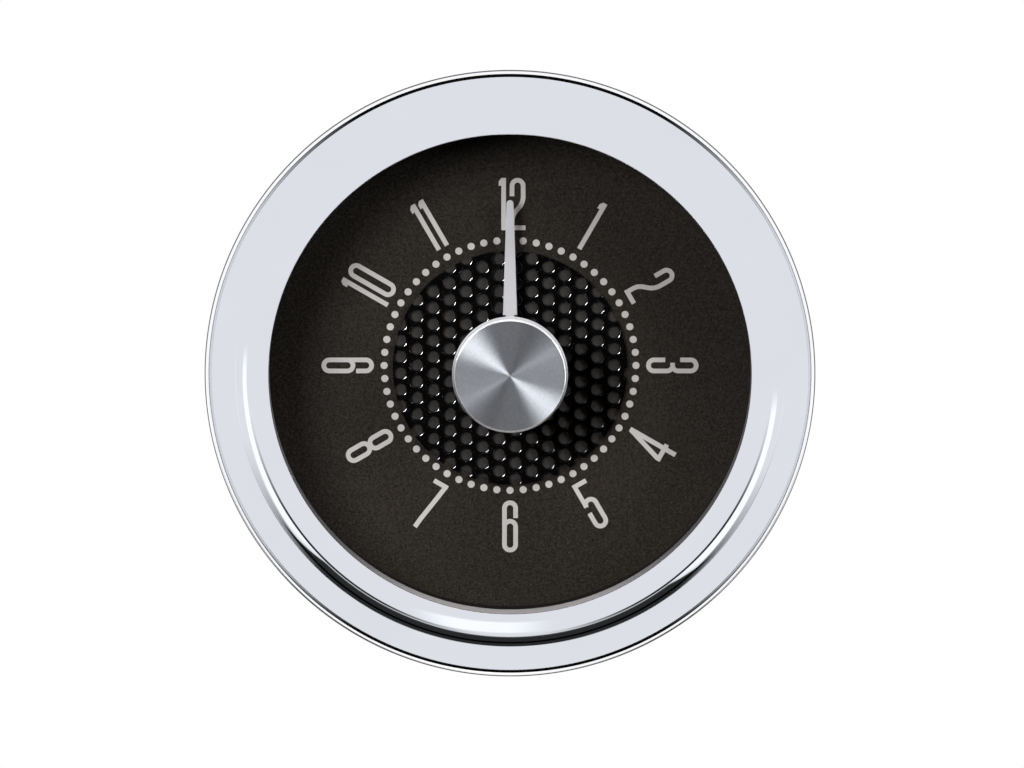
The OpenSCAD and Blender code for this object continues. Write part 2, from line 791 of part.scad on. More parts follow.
module centre_arbor() color("silver") face_forward()
    disc(arbor_r, rear_plate_front - pivot_in, hub_front - 0.1);

module centre_wheel() color("gold") face_forward() difference() {
    union() {
        gear(centre_teeth, 0, centre_wheel_back, centre_wheel_front);
        disc(2 * arbor_r, centre_wheel_back - wheel_t / 2, centre_wheel_front);
    }
    bore(arbor_r, centre_wheel_back, centre_wheel_front);
    spoke_windows(3 * arbor_r, centre_teeth, 5, centre_wheel_back, centre_wheel_front);
}

module intermediate_wheel() color("gold") face_forward() at([inter_place]) {
    difference() {
        gear(inter_teeth, inter_turn, inter_wheel_back, inter_wheel_front);
        hub = tip_r(inter_pinion_teeth) + wheel_band / 2;
        spoke_windows(hub, inter_teeth, 5, inter_wheel_back, inter_wheel_front);
    }
    gear(inter_pinion_teeth, inter_turn, inter_wheel_back, centre_wheel_front + pinion_over);
    disc(arbor_d_small / 2, rear_plate_front - pivot_in, carrier_back + pivot_in);
}

module rotor_pinion() color("silver") face_forward() at([rotor_place]) {
    gear(rotor_teeth, rotor_turn, inter_wheel_back - pinion_over, inter_wheel_front + pinion_over);
    disc(arbor_d_small / 2, rear_plate_front - pivot_in, carrier_back + pivot_in);
}

module rotor_magnet() color("dimgray") face_forward() at([rotor_place])
    ring(magnet_d / 2, arbor_d_small / 2, stator_back - magnet_over, stator_front + magnet_over);

// Flat iron yoke: two legs from the rotor's hole to the ends of the coil, and the core
module stator() color("slategray") face_forward() difference() {
    union() {
        translate([0, 0, stator_back]) linear_extrude(stator_t) {
            translate(rotor_place) circle(r = magnet_d / 2 + magnet_gap + stator_ring_w);
            bar(rotor_place, stator_low, stator_bar_w);
            bar(rotor_place, stator_corner, stator_bar_w);
            bar(stator_corner, stator_top, stator_bar_w);
        }
        block([coil_x, coil_y], core_w, stator_top[1] - stator_low[1], stator_back, stator_front);
    }
    at([rotor_place]) bore(magnet_d / 2 + magnet_gap, stator_back, stator_front);
}

module stator_posts() color("silver") face_forward() at(stator_posts_at)
    disc(post_d / 2, rear_plate_front, stator_back);

// Turned bobbin along the coil's own axis, parallel to the dial's y
module coil_shape(r, from, to) {
    translate([coil_x, coil_y + from, (stator_back + stator_front) / 2])
        rotate([-90, 0, 0]) cylinder(r = r, h = to - from);
}

module coil_bobbin() color("ivory") face_forward() difference() {
    union() {
        coil_shape(coil_d / 2, -coil_l / 2, coil_flange_t - coil_l / 2);
        coil_shape(coil_d / 2, coil_l / 2 - coil_flange_t, coil_l / 2);
        coil_shape(bobbin_r, -coil_l / 2, coil_l / 2);
    }
    block([coil_x, coil_y], core_w, coil_l + 2 * cut, stator_back, stator_front);
}

module coil_winding() color("chocolate") face_forward() difference() {
    coil_shape(winding_d / 2, coil_flange_t - coil_l / 2, coil_l / 2 - coil_flange_t);
    coil_shape(bobbin_r, -coil_l / 2, coil_l / 2);
}

module movement_pillars() color("silver") face_forward() difference() {
    at(pillar_places) {
        disc(pillar_d / 2, rear_plate_front, carrier_back);
        disc(board_screw_d / 2 + hole_play, carrier_back - cut, carrier_front);
    }
    at(pillar_places) disc(board_screw_d / 2, rear_plate_front - cut, rear_plate_front + board_screw_in);
}

module rear_plate() color("darkkhaki") face_forward() difference() {
    disc(rear_plate_d / 2, rear_plate_back, rear_plate_front);
    pivot_holes(rear_plate_back, rear_plate_front);
    at(pillar_places) bore(board_screw_d / 2 + hole_play, rear_plate_back, rear_plate_front);
}

module board_standoffs() color("ivory") face_forward() at(pillar_places)
    ring(spacer_d / 2, board_screw_d / 2 + hole_play, board_front, rear_plate_back);

module board_screws() color("silver") face_forward() at(pillar_places) {
    disc(board_screw_d / 2, board_back - board_screw_head_t / 2,
        rear_plate_front + board_screw_in);
    disc(board_screw_head_d / 2, board_back - board_screw_head_t, board_back);
}

module circuit_board() color("darkgreen") face_forward() difference() {
    disc(board_d / 2, board_back, board_front);
    at(pillar_places) bore(board_screw_d / 2 + hole_play, board_back, board_front);
    at(pin_places) bore(pin_d / 2, board_back, board_front);
}

module control_chip() color("#1a1a1a") face_forward()
    block(chip_at, chip_size[0], chip_size[1], board_back - chip_size[2], board_back);

// Metal can with rounded ends, lying on the board
module quartz_crystal() color("silver") face_forward() {
    straight = crystal_size[0] - crystal_size[1];
    translate([0, 0, board_back - crystal_size[2]]) linear_extrude(crystal_size[2])
        bar(crystal_at - [straight / 2, 0], crystal_at + [straight / 2, 0], crystal_size[1]);
}

module capacitors() color("midnightblue") face_forward() at(capacitor_places)
    disc(capacitor_d / 2, board_back - capacitor_h, board_back);

module voltage_regulator() color("#1a1a1a") face_forward()
    block(regulator_at, regulator_size[0], regulator_size[1],
        board_back - regulator_size[2], board_back);

// Shrouded socket that stands on the board and reaches out through the rear cover
module wiring_socket() color("ivory") face_forward() difference() {
    block(socket_at, socket_w, socket_h, socket_back, socket_front);
    block(socket_at, socket_w - 2 * socket_wall, socket_h - 2 * socket_wall,
        socket_back - cut, socket_floor);
}

module socket_contacts() color("goldenrod") face_forward() for (i = [0 : contact_count - 1])
    block(socket_at + [(i - (contact_count - 1) / 2) * contact_pitch, 0],
        contact_w, contact_w, socket_floor - contact_l, socket_floor);

module case() color("#2a2a2b") face_forward() difference() {
    union() {
        rotate_extrude() {
            translate([case_bore_r, case_end]) square([case_wall, case_depth + flange_front]);
            translate([case_bore_r, flange_rear]) square([flange_d / 2 - case_bore_r, flange_t]);
            translate([ledge_d / 2, ledge_back])
                square([case_bore_r - ledge_d / 2 + case_wall / 2, ledge_t]);
        }
        intersection() {
            at(cover_screw_places) disc(cover_boss_r, case_end, case_end + cover_boss_l);
            disc(case_bore_r + case_wall / 2, case_end, case_end + cover_boss_l);
        }
    }
    at(cover_screw_places) disc(cover_screw_d / 2 + rest_play, case_end - cut, case_end + cover_screw_l);
    at(carrier_places) disc(carrier_screw_d / 2 + rest_play, ledge_back - cut, dial_back + cut / 2);
    at(bezel_screw_places) {
        bore(bezel_screw_d / 2 + rest_play, flange_rear, flange_front);
        countersink(rest_play);
    }
}

// Cone of a countersunk screw head in the rear of the flange, with play all round
module countersink(play) {
    translate([0, 0, flange_rear]) cylinder(
        r1 = bezel_screw_head_d / 2 + play, r2 = bezel_screw_d / 2 + play, h = flange_t / 2);
}

module bezel_screws() color("silver") face_forward() at(bezel_screw_places) {
    disc(bezel_screw_d / 2, flange_rear, flange_rear + bezel_screw_l);
    countersink(0);
}

module rear_cover() color("#2a2a2b") face_forward() difference() {
    union() {
        rotate_extrude() polygon([
            [0, cover_back], [case_r - cover_chamfer, cover_back],
            [case_r, cover_back + cover_chamfer], [case_r, case_end], [0, case_end]
        ]);
        difference() {
            ring(stack_r, stack_r - cover_t, case_end - cover_t / 2, case_end + cover_rim_h);
            at(cover_screw_places)
                disc(cover_boss_r + stack_play, case_end, case_end + cover_rim_h + cut);
        }
    }
    at(cover_screw_places) bore(cover_screw_d / 2 + hole_play, cover_back, case_end);
    at(stud_places) bore(shoulder_d / 2 + rest_play, cover_back, case_end);
    block(socket_at, socket_w + 2 * cover_play, socket_h + 2 * cover_play,
        cover_back - cut, case_end + cut);
}

module cover_screws() color("silver") face_forward() at(cover_screw_places) {
    disc(cover_screw_d / 2, cover_back - cover_screw_head_t / 2,
        case_end + cover_screw_l - screw_end_gap);
    disc(cover_screw_head_d / 2, cover_back - cover_screw_head_t, cover_back);
}

module mounting_studs() color("silver") face_forward() at(stud_places) {
    disc(stud_head_d / 2, case_end, case_end + stud_head_t);
    disc(shoulder_d / 2, shoulder_end, case_end + stud_head_t);
    disc(stud_d / 2, stud_end, case_end);
}

module stud_nuts() color("silver") face_forward() at(stud_places) difference() {
    translate([0, 0, shoulder_end]) cylinder(d = stud_nut_w / cos(30), h = stud_nut_t, $fn = 6);
    bore(shoulder_d / 2, shoulder_end, cover_back);
}

bezel();
lens_gasket();
lens();
spacer_ring();
dial_plate();
perforated_disc();
hour_hand();
minute_hand();
set_knob();
knob_stem();
knob_bush();
bush_nut();
knob_spring();
thrust_washer();
stem_clip();
friction_pad();
diffuser_ring();
light_board();
dial_lamps();
light_pins();
carrier_plate();
carrier_screws();
carrier_spacers();
minute_wheel_post();
cannon_pinion();
hour_wheel();
minute_wheel();
centre_arbor();
centre_wheel();
intermediate_wheel();
rotor_pinion();
rotor_magnet();
stator();
stator_posts();
coil_bobbin();
coil_winding();
movement_pillars();
rear_plate();
board_standoffs();
board_screws();
circuit_board();
control_chip();
quartz_crystal();
capacitors();
voltage_regulator();
wiring_socket();
socket_contacts();
case();
bezel_screws();
rear_cover();
cover_screws();
mounting_studs();
stud_nuts();
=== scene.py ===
"""Round dashboard clock with a chrome bezel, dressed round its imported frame.

Lengths are in millimetres, drawn looking straight at the dial: x to 3 o'clock, y to
12 o'clock and z towards the viewer from the face of the dash panel. place() turns a
point into the frame's metres, where the dial faces -Y and 12 o'clock is up.
"""

import logging
import math
from collections.abc import Callable, Iterable, Sequence
from dataclasses import dataclass
from enum import Enum
from functools import cache

import bmesh
import bpy
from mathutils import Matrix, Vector, geometry


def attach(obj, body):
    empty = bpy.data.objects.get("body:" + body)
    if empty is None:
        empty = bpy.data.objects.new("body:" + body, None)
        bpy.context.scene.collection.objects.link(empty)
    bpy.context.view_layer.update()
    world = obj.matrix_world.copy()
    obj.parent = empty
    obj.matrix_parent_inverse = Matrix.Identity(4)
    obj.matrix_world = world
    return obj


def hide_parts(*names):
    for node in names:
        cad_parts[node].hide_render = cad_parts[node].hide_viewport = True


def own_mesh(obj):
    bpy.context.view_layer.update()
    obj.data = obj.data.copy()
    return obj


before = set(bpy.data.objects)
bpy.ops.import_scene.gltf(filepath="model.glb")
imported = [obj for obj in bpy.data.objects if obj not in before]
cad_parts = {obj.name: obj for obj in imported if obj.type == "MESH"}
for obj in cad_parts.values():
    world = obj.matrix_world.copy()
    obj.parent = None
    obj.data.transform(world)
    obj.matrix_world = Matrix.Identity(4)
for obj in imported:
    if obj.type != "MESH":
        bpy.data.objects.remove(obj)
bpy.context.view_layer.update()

MM = 0.001
LOG = logging.getLogger("clock")
# The middle of Blender's noise, which seldom reaches 0 or 1
NOISE_LOW, NOISE_HIGH = 0.3, 0.7
# Radius below which a drawn point lies on the axis, in mm
ON_AXIS = 1e-6

Point = tuple[float, float]
Spot = tuple[float, float, float]
Colour = tuple[float, float, float, float]
Flat = tuple[list[Point], list[list[int]]]
Shell = tuple[list[Vector], list[list[int]]]


class Facing(Enum):
    """Which way the top of a number on the dial points."""

    OUTWARD = 0.0
    INWARD = 180.0


class Reach(Enum):
    """Which pieces a lamp or a card lights, out of a list of them."""

    ONLY = "INCLUDE"
    ALL_BUT = "EXCLUDE"


def place(x: float, y: float, z: float) -> Vector:
    """Turns a drawn point into the frame's metres.

    Args:
        x: Distance towards 3 o'clock, in mm.
        y: Distance towards 12 o'clock, in mm.
        z: Height above the dash panel, in mm.

    Returns:
        The point in the frame.
    """
    return Vector((x * MM, -z * MM, y * MM))


def linear(colour: str) -> Colour:
    """Turns an sRGB hex colour into linear values.

    Args:
        colour: Six hex digits after a hash.

    Returns:
        Linear red, green and blue, and an alpha of 1.
    """
    parts = [int(colour[i : i + 2], 16) / 255 for i in (1, 3, 5)]
    values = [c / 12.92 if c <= 0.04045 else ((c + 0.055) / 1.055) ** 2.4 for c in parts]
    return (*values, 1.0)


def add_node(
    tree: bpy.types.NodeTree, kind: str, inputs: dict[str | int, object] | None = None,
    **settings: object,
) -> bpy.types.Node:
    """Adds a node to a tree and sets it up.

    Args:
        tree: The tree that gets the node.
        kind: The node's type.
        inputs: Values or sockets for its inputs, by name or number.
        **settings: Values for the node's own properties.

    Returns:
        The new node.
    """
    node = tree.nodes.new(kind)
    for name, value in settings.items():
        setattr(node, name, value)
    for name, value in (inputs or {}).items():
        if isinstance(value, bpy.types.NodeSocket):
            tree.links.new(value, node.inputs[name])
        else:
            node.inputs[name].default_value = value
    return node


def add_object(name: str, data: bpy.types.ID) -> bpy.types.Object:
    """Adds an object to the scene.

    Args:
        name: Name of the object.
        data: Its mesh, its lamp or its camera.

    Returns:
        The new object.
    """
    item = bpy.data.objects.new(name, data)
    bpy.context.scene.collection.objects.link(item)
    return item


def drawn(point: Vector) -> Point:
    """Returns the distance from the axis and the height of a point of the frame, in mm."""
    return math.hypot(point.x, point.z) / MM, -point.y / MM


# Finishes


@dataclass(frozen=True)
class Finish:
    """A finish: the colour, and what the way it was made does to the light.

    Patches are slow changes of colour, and grain is the fine relief of the surface.
    """

    name: str
    colour: str
    metallic: float = 0.0
    roughness: float = 0.5
    specular: float = 0.5
    coat: float = 0.0
    patches: float = 0.0
    patch_mm: float = 4.0
    grain_mm: float = 0.0
    grain_depth_mm: float = 0.0

    @cache
    def material(self) -> bpy.types.Material:
        """Makes the finish's material, once.

        Returns:
            The material.
        """
        made = bpy.data.materials.new(f"{self.name}_finish")
        made.use_nodes = True
        tree = made.node_tree
        tree.nodes.clear()
        add_node(tree, "ShaderNodeOutputMaterial", {"Surface": self.surface(tree)})
        made.diffuse_color = linear(self.colour)
        return made

    def radius(self, tree: bpy.types.NodeTree) -> bpy.types.NodeSocket:
        """Measures how far a point lies from the clock's axis.

        Args:
            tree: The material's tree.

        Returns:
            The socket of the distance, in metres.
        """
        spot = add_node(tree, "ShaderNodeTexCoord").outputs["Object"]
        flat = add_node(
            tree, "ShaderNodeVectorMath", {0: spot, 1: (1.0, 0.0, 1.0)}, operation="MULTIPLY"
        ).outputs["Vector"]
        return add_node(
            tree, "ShaderNodeVectorMath", {0: flat}, operation="LENGTH"
        ).outputs["Value"]

    def tinted(self, tree: bpy.types.NodeTree) -> bpy.types.NodeSocket | Colour:
        """Varies the colour where the finish has patches.

        Args:
            tree: The material's tree.

        Returns:
            The socket of the colour, or the plain colour.
        """
        if not self.patches:
            return linear(self.colour)
        spot = add_node(tree, "ShaderNodeTexCoord").outputs["Object"]
        patchy = add_node(
            tree, "ShaderNodeTexNoise",
            {"Vector": spot, "Scale": 1 / (self.patch_mm * MM), "Detail": 3.0},
        ).outputs["Fac"]
        level = add_node(
            tree, "ShaderNodeMapRange",
            {"Value": patchy, "From Min": NOISE_LOW, "From Max": NOISE_HIGH,
             "To Min": 1 - self.patches, "To Max": 1 + self.patches},
        ).outputs["Result"]
        return add_node(
            tree, "ShaderNodeVectorMath", {0: linear(self.colour)[:3], "Scale": level},
            operation="SCALE",
        ).outputs["Vector"]

    def relief(self, tree: bpy.types.NodeTree) -> bpy.types.NodeSocket | None:
        """Raises the grain.

        Args:
            tree: The material's tree.

        Returns:
            The socket of the bump, or nothing on a smooth finish.
        """
        if not self.grain_mm:
            return None
        spot = add_node(tree, "ShaderNodeTexCoord").outputs["Object"]
        grain = add_node(
            tree, "ShaderNodeTexNoise",
            {"Vector": spot, "Scale": 1 / (self.grain_mm * MM), "Detail": 2.0},
        ).outputs["Fac"]
        return add_node(
            tree, "ShaderNodeBump", {"Height": grain, "Distance": self.grain_depth_mm * MM}
        ).outputs["Normal"]

    def surface(self, tree: bpy.types.NodeTree) -> bpy.types.NodeSocket:
        """Builds the shader.

        Args:
            tree: The material's tree.

        Returns:
            The shader's socket.
        """
        inputs: dict[str | int, object] = {
            "Base Color": self.tinted(tree), "Metallic": self.metallic,
            "Roughness": self.roughness, "Specular IOR Level": self.specular,
            "Coat Weight": self.coat,
        }
        normal = self.relief(tree)
        if normal is not None:
            inputs["Normal"] = normal
        return add_node(tree, "ShaderNodeBsdfPrincipled", inputs).outputs["BSDF"]


@dataclass(frozen=True)
class SpunMetal(Finish):
    """Metal turned on a lathe: fine rings round the axis spread its highlights
    into bright sectors."""

    ring_mm: float = 0.16
    ring_depth_mm: float = 0.001
    anisotropy: float = 0.8
    # Share of a full turn, so that highlights spread across the rings
    spread: float = 0.25

    def surface(self, tree: bpy.types.NodeTree) -> bpy.types.NodeSocket:
        """Builds the shader with its turned rings.

        Args:
            tree: The material's tree.

        Returns:
            The shader's socket.
        """
        rings = add_node(
            tree, "ShaderNodeTexNoise",
            {"W": self.radius(tree), "Scale": 1 / (self.ring_mm * MM)}, noise_dimensions="1D",
        ).outputs["Fac"]
        bump = add_node(
            tree, "ShaderNodeBump", {"Height": rings, "Distance": self.ring_depth_mm * MM}
        ).outputs["Normal"]
        tangent = add_node(
            tree, "ShaderNodeTangent", direction_type="RADIAL", axis="Y"
        ).outputs["Tangent"]
        inputs = {
            "Base Color": self.tinted(tree), "Metallic": self.metallic,
            "Roughness": self.roughness, "Anisotropic": self.anisotropy,
            "Anisotropic Rotation": self.spread, "Normal": bump, "Tangent": tangent,
        }
        return add_node(tree, "ShaderNodeBsdfPrincipled", inputs).outputs["BSDF"]


@dataclass(frozen=True)
class SprayedDial(Finish):
    """Sprayed paint that leaves the base coat bare under the perforated disc."""

    bare: str = "#403e3c"
    bare_r: float = 19.2

    def tinted(self, tree: bpy.types.NodeTree) -> bpy.types.NodeSocket:
        """Lays the paint with its metal grain round the base coat.

        Args:
            tree: The material's tree.

        Returns:
            The socket of the colour.
        """
        inside = add_node(
            tree, "ShaderNodeMath", {0: self.radius(tree), 1: self.bare_r * MM},
            operation="LESS_THAN",
        ).outputs[0]
        paint = super().tinted(tree)
        return add_node(
            tree, "ShaderNodeMix", {0: inside, 6: paint, 7: linear(self.bare)}, data_type="RGBA"
        ).outputs[2]


@dataclass(frozen=True)
class SidedPlate(Finish):
    """Plating whose tone changes towards the clock's left and right: painted light and shade that
    stands in for how the light falls there.

    The change starts and ends at shares of the radius, counted across the clock.
    """

    # Painted tone of the sides: by default a pale painted reflection, as on the groove
    side: str = "#d4d7de"
    side_from: float = 0.5
    side_to: float = 0.93

    def tinted(self, tree: bpy.types.NodeTree) -> bpy.types.NodeSocket:
        """Blends the colour of the top and the foot into the painted tone of the sides.

        Args:
            tree: The material's tree.

        Returns:
            The socket of the colour.
        """
        spot = add_node(tree, "ShaderNodeTexCoord").outputs["Object"]
        across = add_node(tree, "ShaderNodeSeparateXYZ", {"Vector": spot}).outputs["X"]
        aside = add_node(
            tree, "ShaderNodeMath", {0: across}, operation="ABSOLUTE"
        ).outputs["Value"]
        share = add_node(
            tree, "ShaderNodeMath", {0: aside, 1: self.radius(tree)}, operation="DIVIDE"
        ).outputs["Value"]
        blend = add_node(
            tree, "ShaderNodeMapRange",
            {"Value": share, "From Min": self.side_from, "From Max": self.side_to},
            interpolation_type="SMOOTHSTEP",
        ).outputs["Result"]
        return add_node(
            tree, "ShaderNodeMix", {0: blend, 6: super().tinted(tree), 7: linear(self.side)},
            data_type="RGBA",
        ).outputs[2]


@dataclass(frozen=True)
class ClearGlass(Finish):
    """Flat mineral glass that lets the light of the lamps through."""

    gloss: float = 0.01
    index: float = 1.5

    def surface(self, tree: bpy.types.NodeTree) -> bpy.types.NodeSocket:
        """Builds the clear shader with its faint reflection.

        Args:
            tree: The material's tree.

        Returns:
            The shader's socket.
        """
        clear = add_node(tree, "ShaderNodeBsdfTransparent", {"Color": linear(self.colour)})
        mirror = add_node(tree, "ShaderNodeBsdfGlossy", {"Roughness": self.roughness})
        rim = add_node(tree, "ShaderNodeFresnel", {"IOR": self.index})
        share = add_node(
            tree, "ShaderNodeMath", {0: rim.outputs["Fac"], 1: self.gloss}, operation="MULTIPLY"
        )
        inputs = {0: share.outputs[0], 1: clear.outputs["BSDF"], 2: mirror.outputs["BSDF"]}
        return add_node(tree, "ShaderNodeMixShader", inputs).outputs["Shader"]


# Bright chromium over nickel, mirror smooth with a cool tint
CHROME = Finish(
    "chrome_plate", "#dcdfe6", metallic=1.0, roughness=0.04, patches=0.012, patch_mm=9.0
)
# Painted shade in the bezel's groove: near black at its top and foot, fading to a pale painted
# reflection towards its left and right
GROOVE_PAINTED_SHADE = SidedPlate(
    "thin_chrome_plate", "#0c0c0d", metallic=1.0, roughness=0.3, patches=0.05, patch_mm=1.5
)
# Crown of the rolled rim, made brighter than the rest of the chrome: a painted highlight
RIM_PAINTED_HIGHLIGHT = Finish(
    "buffed_chrome_plate", "#fafafc", metallic=1.0, roughness=0.05, patches=0.01, patch_mm=9.0
)
# Outer edge of the rim, darkened to a fine dark outline: a painted shade
RIM_PAINTED_OUTLINE = Finish(
    "cut_through_chrome_plate", "#6c6a70", metallic=1.0, roughness=0.12, patches=0.04, patch_mm=2.0
)
# Turned inner wall of the collar, plated but not polished, with painted shade darkening it towards
# its left and right
WALL_CHROME_SIDE_SHADE = SidedPlate(
    "turned_chrome_plate", "#efebec", metallic=1.0, roughness=0.85,
    patches=0.03, patch_mm=2.0, grain_mm=0.25, grain_depth_mm=0.002,
    side="#8c898a", side_from=0.3, side_to=0.8,
)
# Turned aluminium: the face's rings fan its highlights into sectors, and its grain,
# drawn coarser than it is so that it shows, speckles them. Its colour is far darker
# than aluminium's: a painted shade standing in for the dark surroundings it reflects
SPUN = SpunMetal(
    "spun_aluminium", "#66686c", metallic=1.0, roughness=0.4, anisotropy=1.0,
    patches=0.1, patch_mm=0.3,
)
# Bevel cut with a diamond tool, much brighter than the face
BRIGHT_CUT = Finish(
    "bright_cut_aluminium", "#f6f6f8", metallic=1.0, roughness=0.16, patches=0.015, patch_mm=1.5
)
# Straight edge of the knob, blasted and anodised pale
BLASTED = Finish(
    "blasted_aluminium", "#c4c4c8", metallic=0.3, roughness=0.6,
    patches=0.03, patch_mm=0.8, grain_mm=0.12, grain_depth_mm=0.001,
)
# Hollow underside of the knob, plain turned and a little dull
SATIN = Finish(
    "satin_aluminium", "#c4c5c9", metallic=1.0, roughness=0.3,
    patches=0.04, patch_mm=1.0, grain_mm=0.15, grain_depth_mm=0.001,
)
# Sprayed dial paint with fine metal grain
DIAL_PAINT = SprayedDial(
    "dial_paint", "#332f2b", roughness=0.6, specular=0.01,
    patches=0.42, patch_mm=0.36, grain_mm=0.2, grain_depth_mm=0.0015,
)
# Screen printed ink, opaque and matt
INK = Finish("pale_dial_ink", "#d2cfcc", roughness=0.6, specular=0.2, patches=0.02, patch_mm=0.5)
# Black stove enamel on the perforated sheet
ENAMEL = Finish(
    "black_enamel", "#050506", roughness=0.35, specular=0.02,
    patches=0.12, patch_mm=1.4, grain_mm=0.5, grain_depth_mm=0.001,
)
# Edges of the perforations, where the enamel is drawn thin and shines
ENAMEL_EDGE = Finish(
    "enamel_edge", "#0b0b0d", roughness=0.08, specular=1.0, patches=0.1, patch_mm=1.0
)
# Pale satin paint of the hands
HAND_PAINT = Finish(
    "hand_paint", "#d3d3d7", roughness=0.4, specular=0.4, patches=0.02, patch_mm=3.0
)
# Float glass, polished and uncoated: only a faint mirror image lies on it
GLASS = ClearGlass("clear_glass", "#ffffff", roughness=0.0)
# Moulded phenolic between lens and dial, dull and nearly black
DARK_RING = Finish(
    "dark_moulding", "#1a1816", roughness=0.7, specular=0.15,
    patches=0.15, patch_mm=2.0, grain_mm=0.3, grain_depth_mm=0.01,
)
# Moulded rubber, which drinks the light
RUBBER = Finish(
    "black_rubber", "#141414", roughness=0.75, specular=0.25,
    patches=0.1, patch_mm=1.5, grain_mm=0.2, grain_depth_mm=0.01,
)
# ABS moulded in a spark-eroded tool, whose fine grain spreads its gloss
CASE_PLASTIC = Finish(
    "moulded_plastic", "#29292b", roughness=0.5, specular=0.45,
    patches=0.08, patch_mm=12.0, grain_mm=0.35, grain_depth_mm=0.012,
)
# Zinc plated steel, bright with cloudy passivation
ZINC = Finish(
    "zinc_plated_steel", "#c3c6c8", metallic=1.0, roughness=0.28,
    patches=0.06, patch_mm=1.5, grain_mm=0.15, grain_depth_mm=0.002,
)
# Drawn or turned steel, left bare, with a greyish shine
STEEL = Finish("drawn_steel", "#b9bbbe", metallic=1.0, roughness=0.22, patches=0.04, patch_mm=1.0)
# Brass cut on a hobbing machine or a lathe, yellow and bright
BRASS = Finish(
    "machined_brass", "#d2b06a", metallic=1.0, roughness=0.24, patches=0.05, patch_mm=1.2
)
# Rolled brass sheet, paler and duller than the cut one
ROLLED_BRASS = Finish(
    "rolled_brass", "#c9ac72", metallic=1.0, roughness=0.34,
    patches=0.06, patch_mm=3.0, grain_mm=0.25, grain_depth_mm=0.002,
)
# Thin plated gold on contacts, with a warm gleam
GOLD = Finish("gold_flash", "#e0bf6a", metallic=1.0, roughness=0.2, patches=0.03, patch_mm=0.8)
# Injection moulded nylon, milky white with a waxy shine
NYLON = Finish(
    "natural_nylon", "#e3e0d4", roughness=0.45, specular=0.45,
    patches=0.03, patch_mm=3.0, grain_mm=0.3, grain_depth_mm=0.006,
)
# Opal acrylic, matt so that no lamp shows through as a spot
MILKY = Finish("milky_diffuser", "#ecebe6", roughness=0.6, patches=0.02, patch_mm=4.0)
# Green solder resist over glass fibre, glossy and a little wavy
BOARD = Finish(
    "solder_resist", "#1d5a34", roughness=0.35, specular=0.5, coat=0.2,
    patches=0.12, patch_mm=2.2, grain_mm=0.4, grain_depth_mm=0.004,
)
# Cast epoxy of the small lamps, cream with a clear shine
LAMP = Finish("lamp_moulding", "#e9e3bf", roughness=0.3, patches=0.03, patch_mm=1.0)
# Sintered magnet, dark grey and matt
FERRITE = Finish("ferrite", "#3a3a3b", roughness=0.6, patches=0.1, patch_mm=0.8)
# Punched and annealed iron, grey with a scaly bloom
IRON = Finish("annealed_iron", "#8d9094", metallic=1.0, roughness=0.42, patches=0.1, patch_mm=1.5)
# Copper wire under baked enamel, brown red and shiny
COPPER = Finish(
    "enamelled_copper", "#a5562a", metallic=0.6, roughness=0.3, patches=0.08, patch_mm=0.4
)
# Black moulding compound of the chips, matt
EPOXY = Finish("chip_epoxy", "#222224", roughness=0.6, patches=0.06, patch_mm=0.6)
# Shrunk blue sleeve of the capacitors, glossy
SLEEVE = Finish(
    "capacitor_sleeve", "#22305c", roughness=0.3, coat=0.3, patches=0.04, patch_mm=1.0
)


# Meshes


def arc(cx: float, cy: float, radius: float, start: float, end: float, steps: int) -> list[Point]:
    """Points along an arc.

    Args:
        cx: First coordinate of the centre.
        cy: Second coordinate of the centre.
        radius: Radius of the arc.
        start: Angle of the first point, in degrees.
        end: Angle of the last point, in degrees.
        steps: Number of chords.

    Returns:
        The points, one more than the chords.
    """
    angles = [math.radians(start + (end - start) * i / steps) for i in range(steps + 1)]
    return [(cx + radius * math.cos(a), cy + radius * math.sin(a)) for a in angles]


def rounded(corners: Sequence[Spot], hold: float = 0.03, steps: int = 6) -> list[Point]:
    """Closed outline whose corners are rounded.

    Args:
        corners: First and second coordinate and rounding radius of each corner.
        hold: Distance from a rounding to a point that keeps the straight side flat.
        steps: Number of chords of a rounding.

    Returns:
        The points of the outline.
    """
    points: list[Point] = []
    count = len(corners)
    for i, (x, y, radius) in enumerate(corners):
        here = Vector((x, y))
        before = Vector(corners[i - 1][:2]) - here
        after = Vector(corners[(i + 1) % count][:2]) - here
        if radius <= 0:
            points.append((x, y))
            continue
        a, b = before.normalized(), after.normalized()
        half = a.angle(b) / 2
        run = radius / math.tan(half)
        centre = here + (a + b).normalized() * (radius / math.sin(half))
        first, last = here + a * run, here + b * run
        if before.length > 2 * (run + hold):
            points.append(tuple(here + a * (run + hold)))
        for step in range(steps + 1):
            mixed = (first - centre).lerp(last - centre, step / steps).normalized()
            points.append(tuple(centre + mixed * radius))
        if after.length > 2 * (run + hold):
            points.append(tuple(here + b * (run + hold)))
    return points


def revolve(profile: Sequence[Point], segments: int = 256) -> Shell:
    """Turns a closed profile round the clock's axis.

    Args:
        profile: Radius and height of each point, in mm.
        segments: Number of steps round the axis.

    Returns:
        The points and faces. Points on the axis become one pole each.
    """
    rings: list[list[int]] = []
    points: list[Vector] = []
    for radius, height in profile:
        if radius < ON_AXIS:
            rings.append([len(points)] * segments)
            points.append(place(0, 0, height))
            continue
        rings.append(list(range(len(points), len(points) + segments)))
        for k in range(segments):
            a = 2 * math.pi * k / segments
            points.append(place(radius * math.cos(a), radius * math.sin(a), height))
    faces = []
    for i, ring in enumerate(rings):
        following = rings[(i + 1) % len(rings)]
        for k in range(segments):
            m = (k + 1) % segments
            face = list(dict.fromkeys([ring[k], ring[m], following[m], following[k]]))
            if len(face) > 2:
                faces.append(face)
    return points, faces


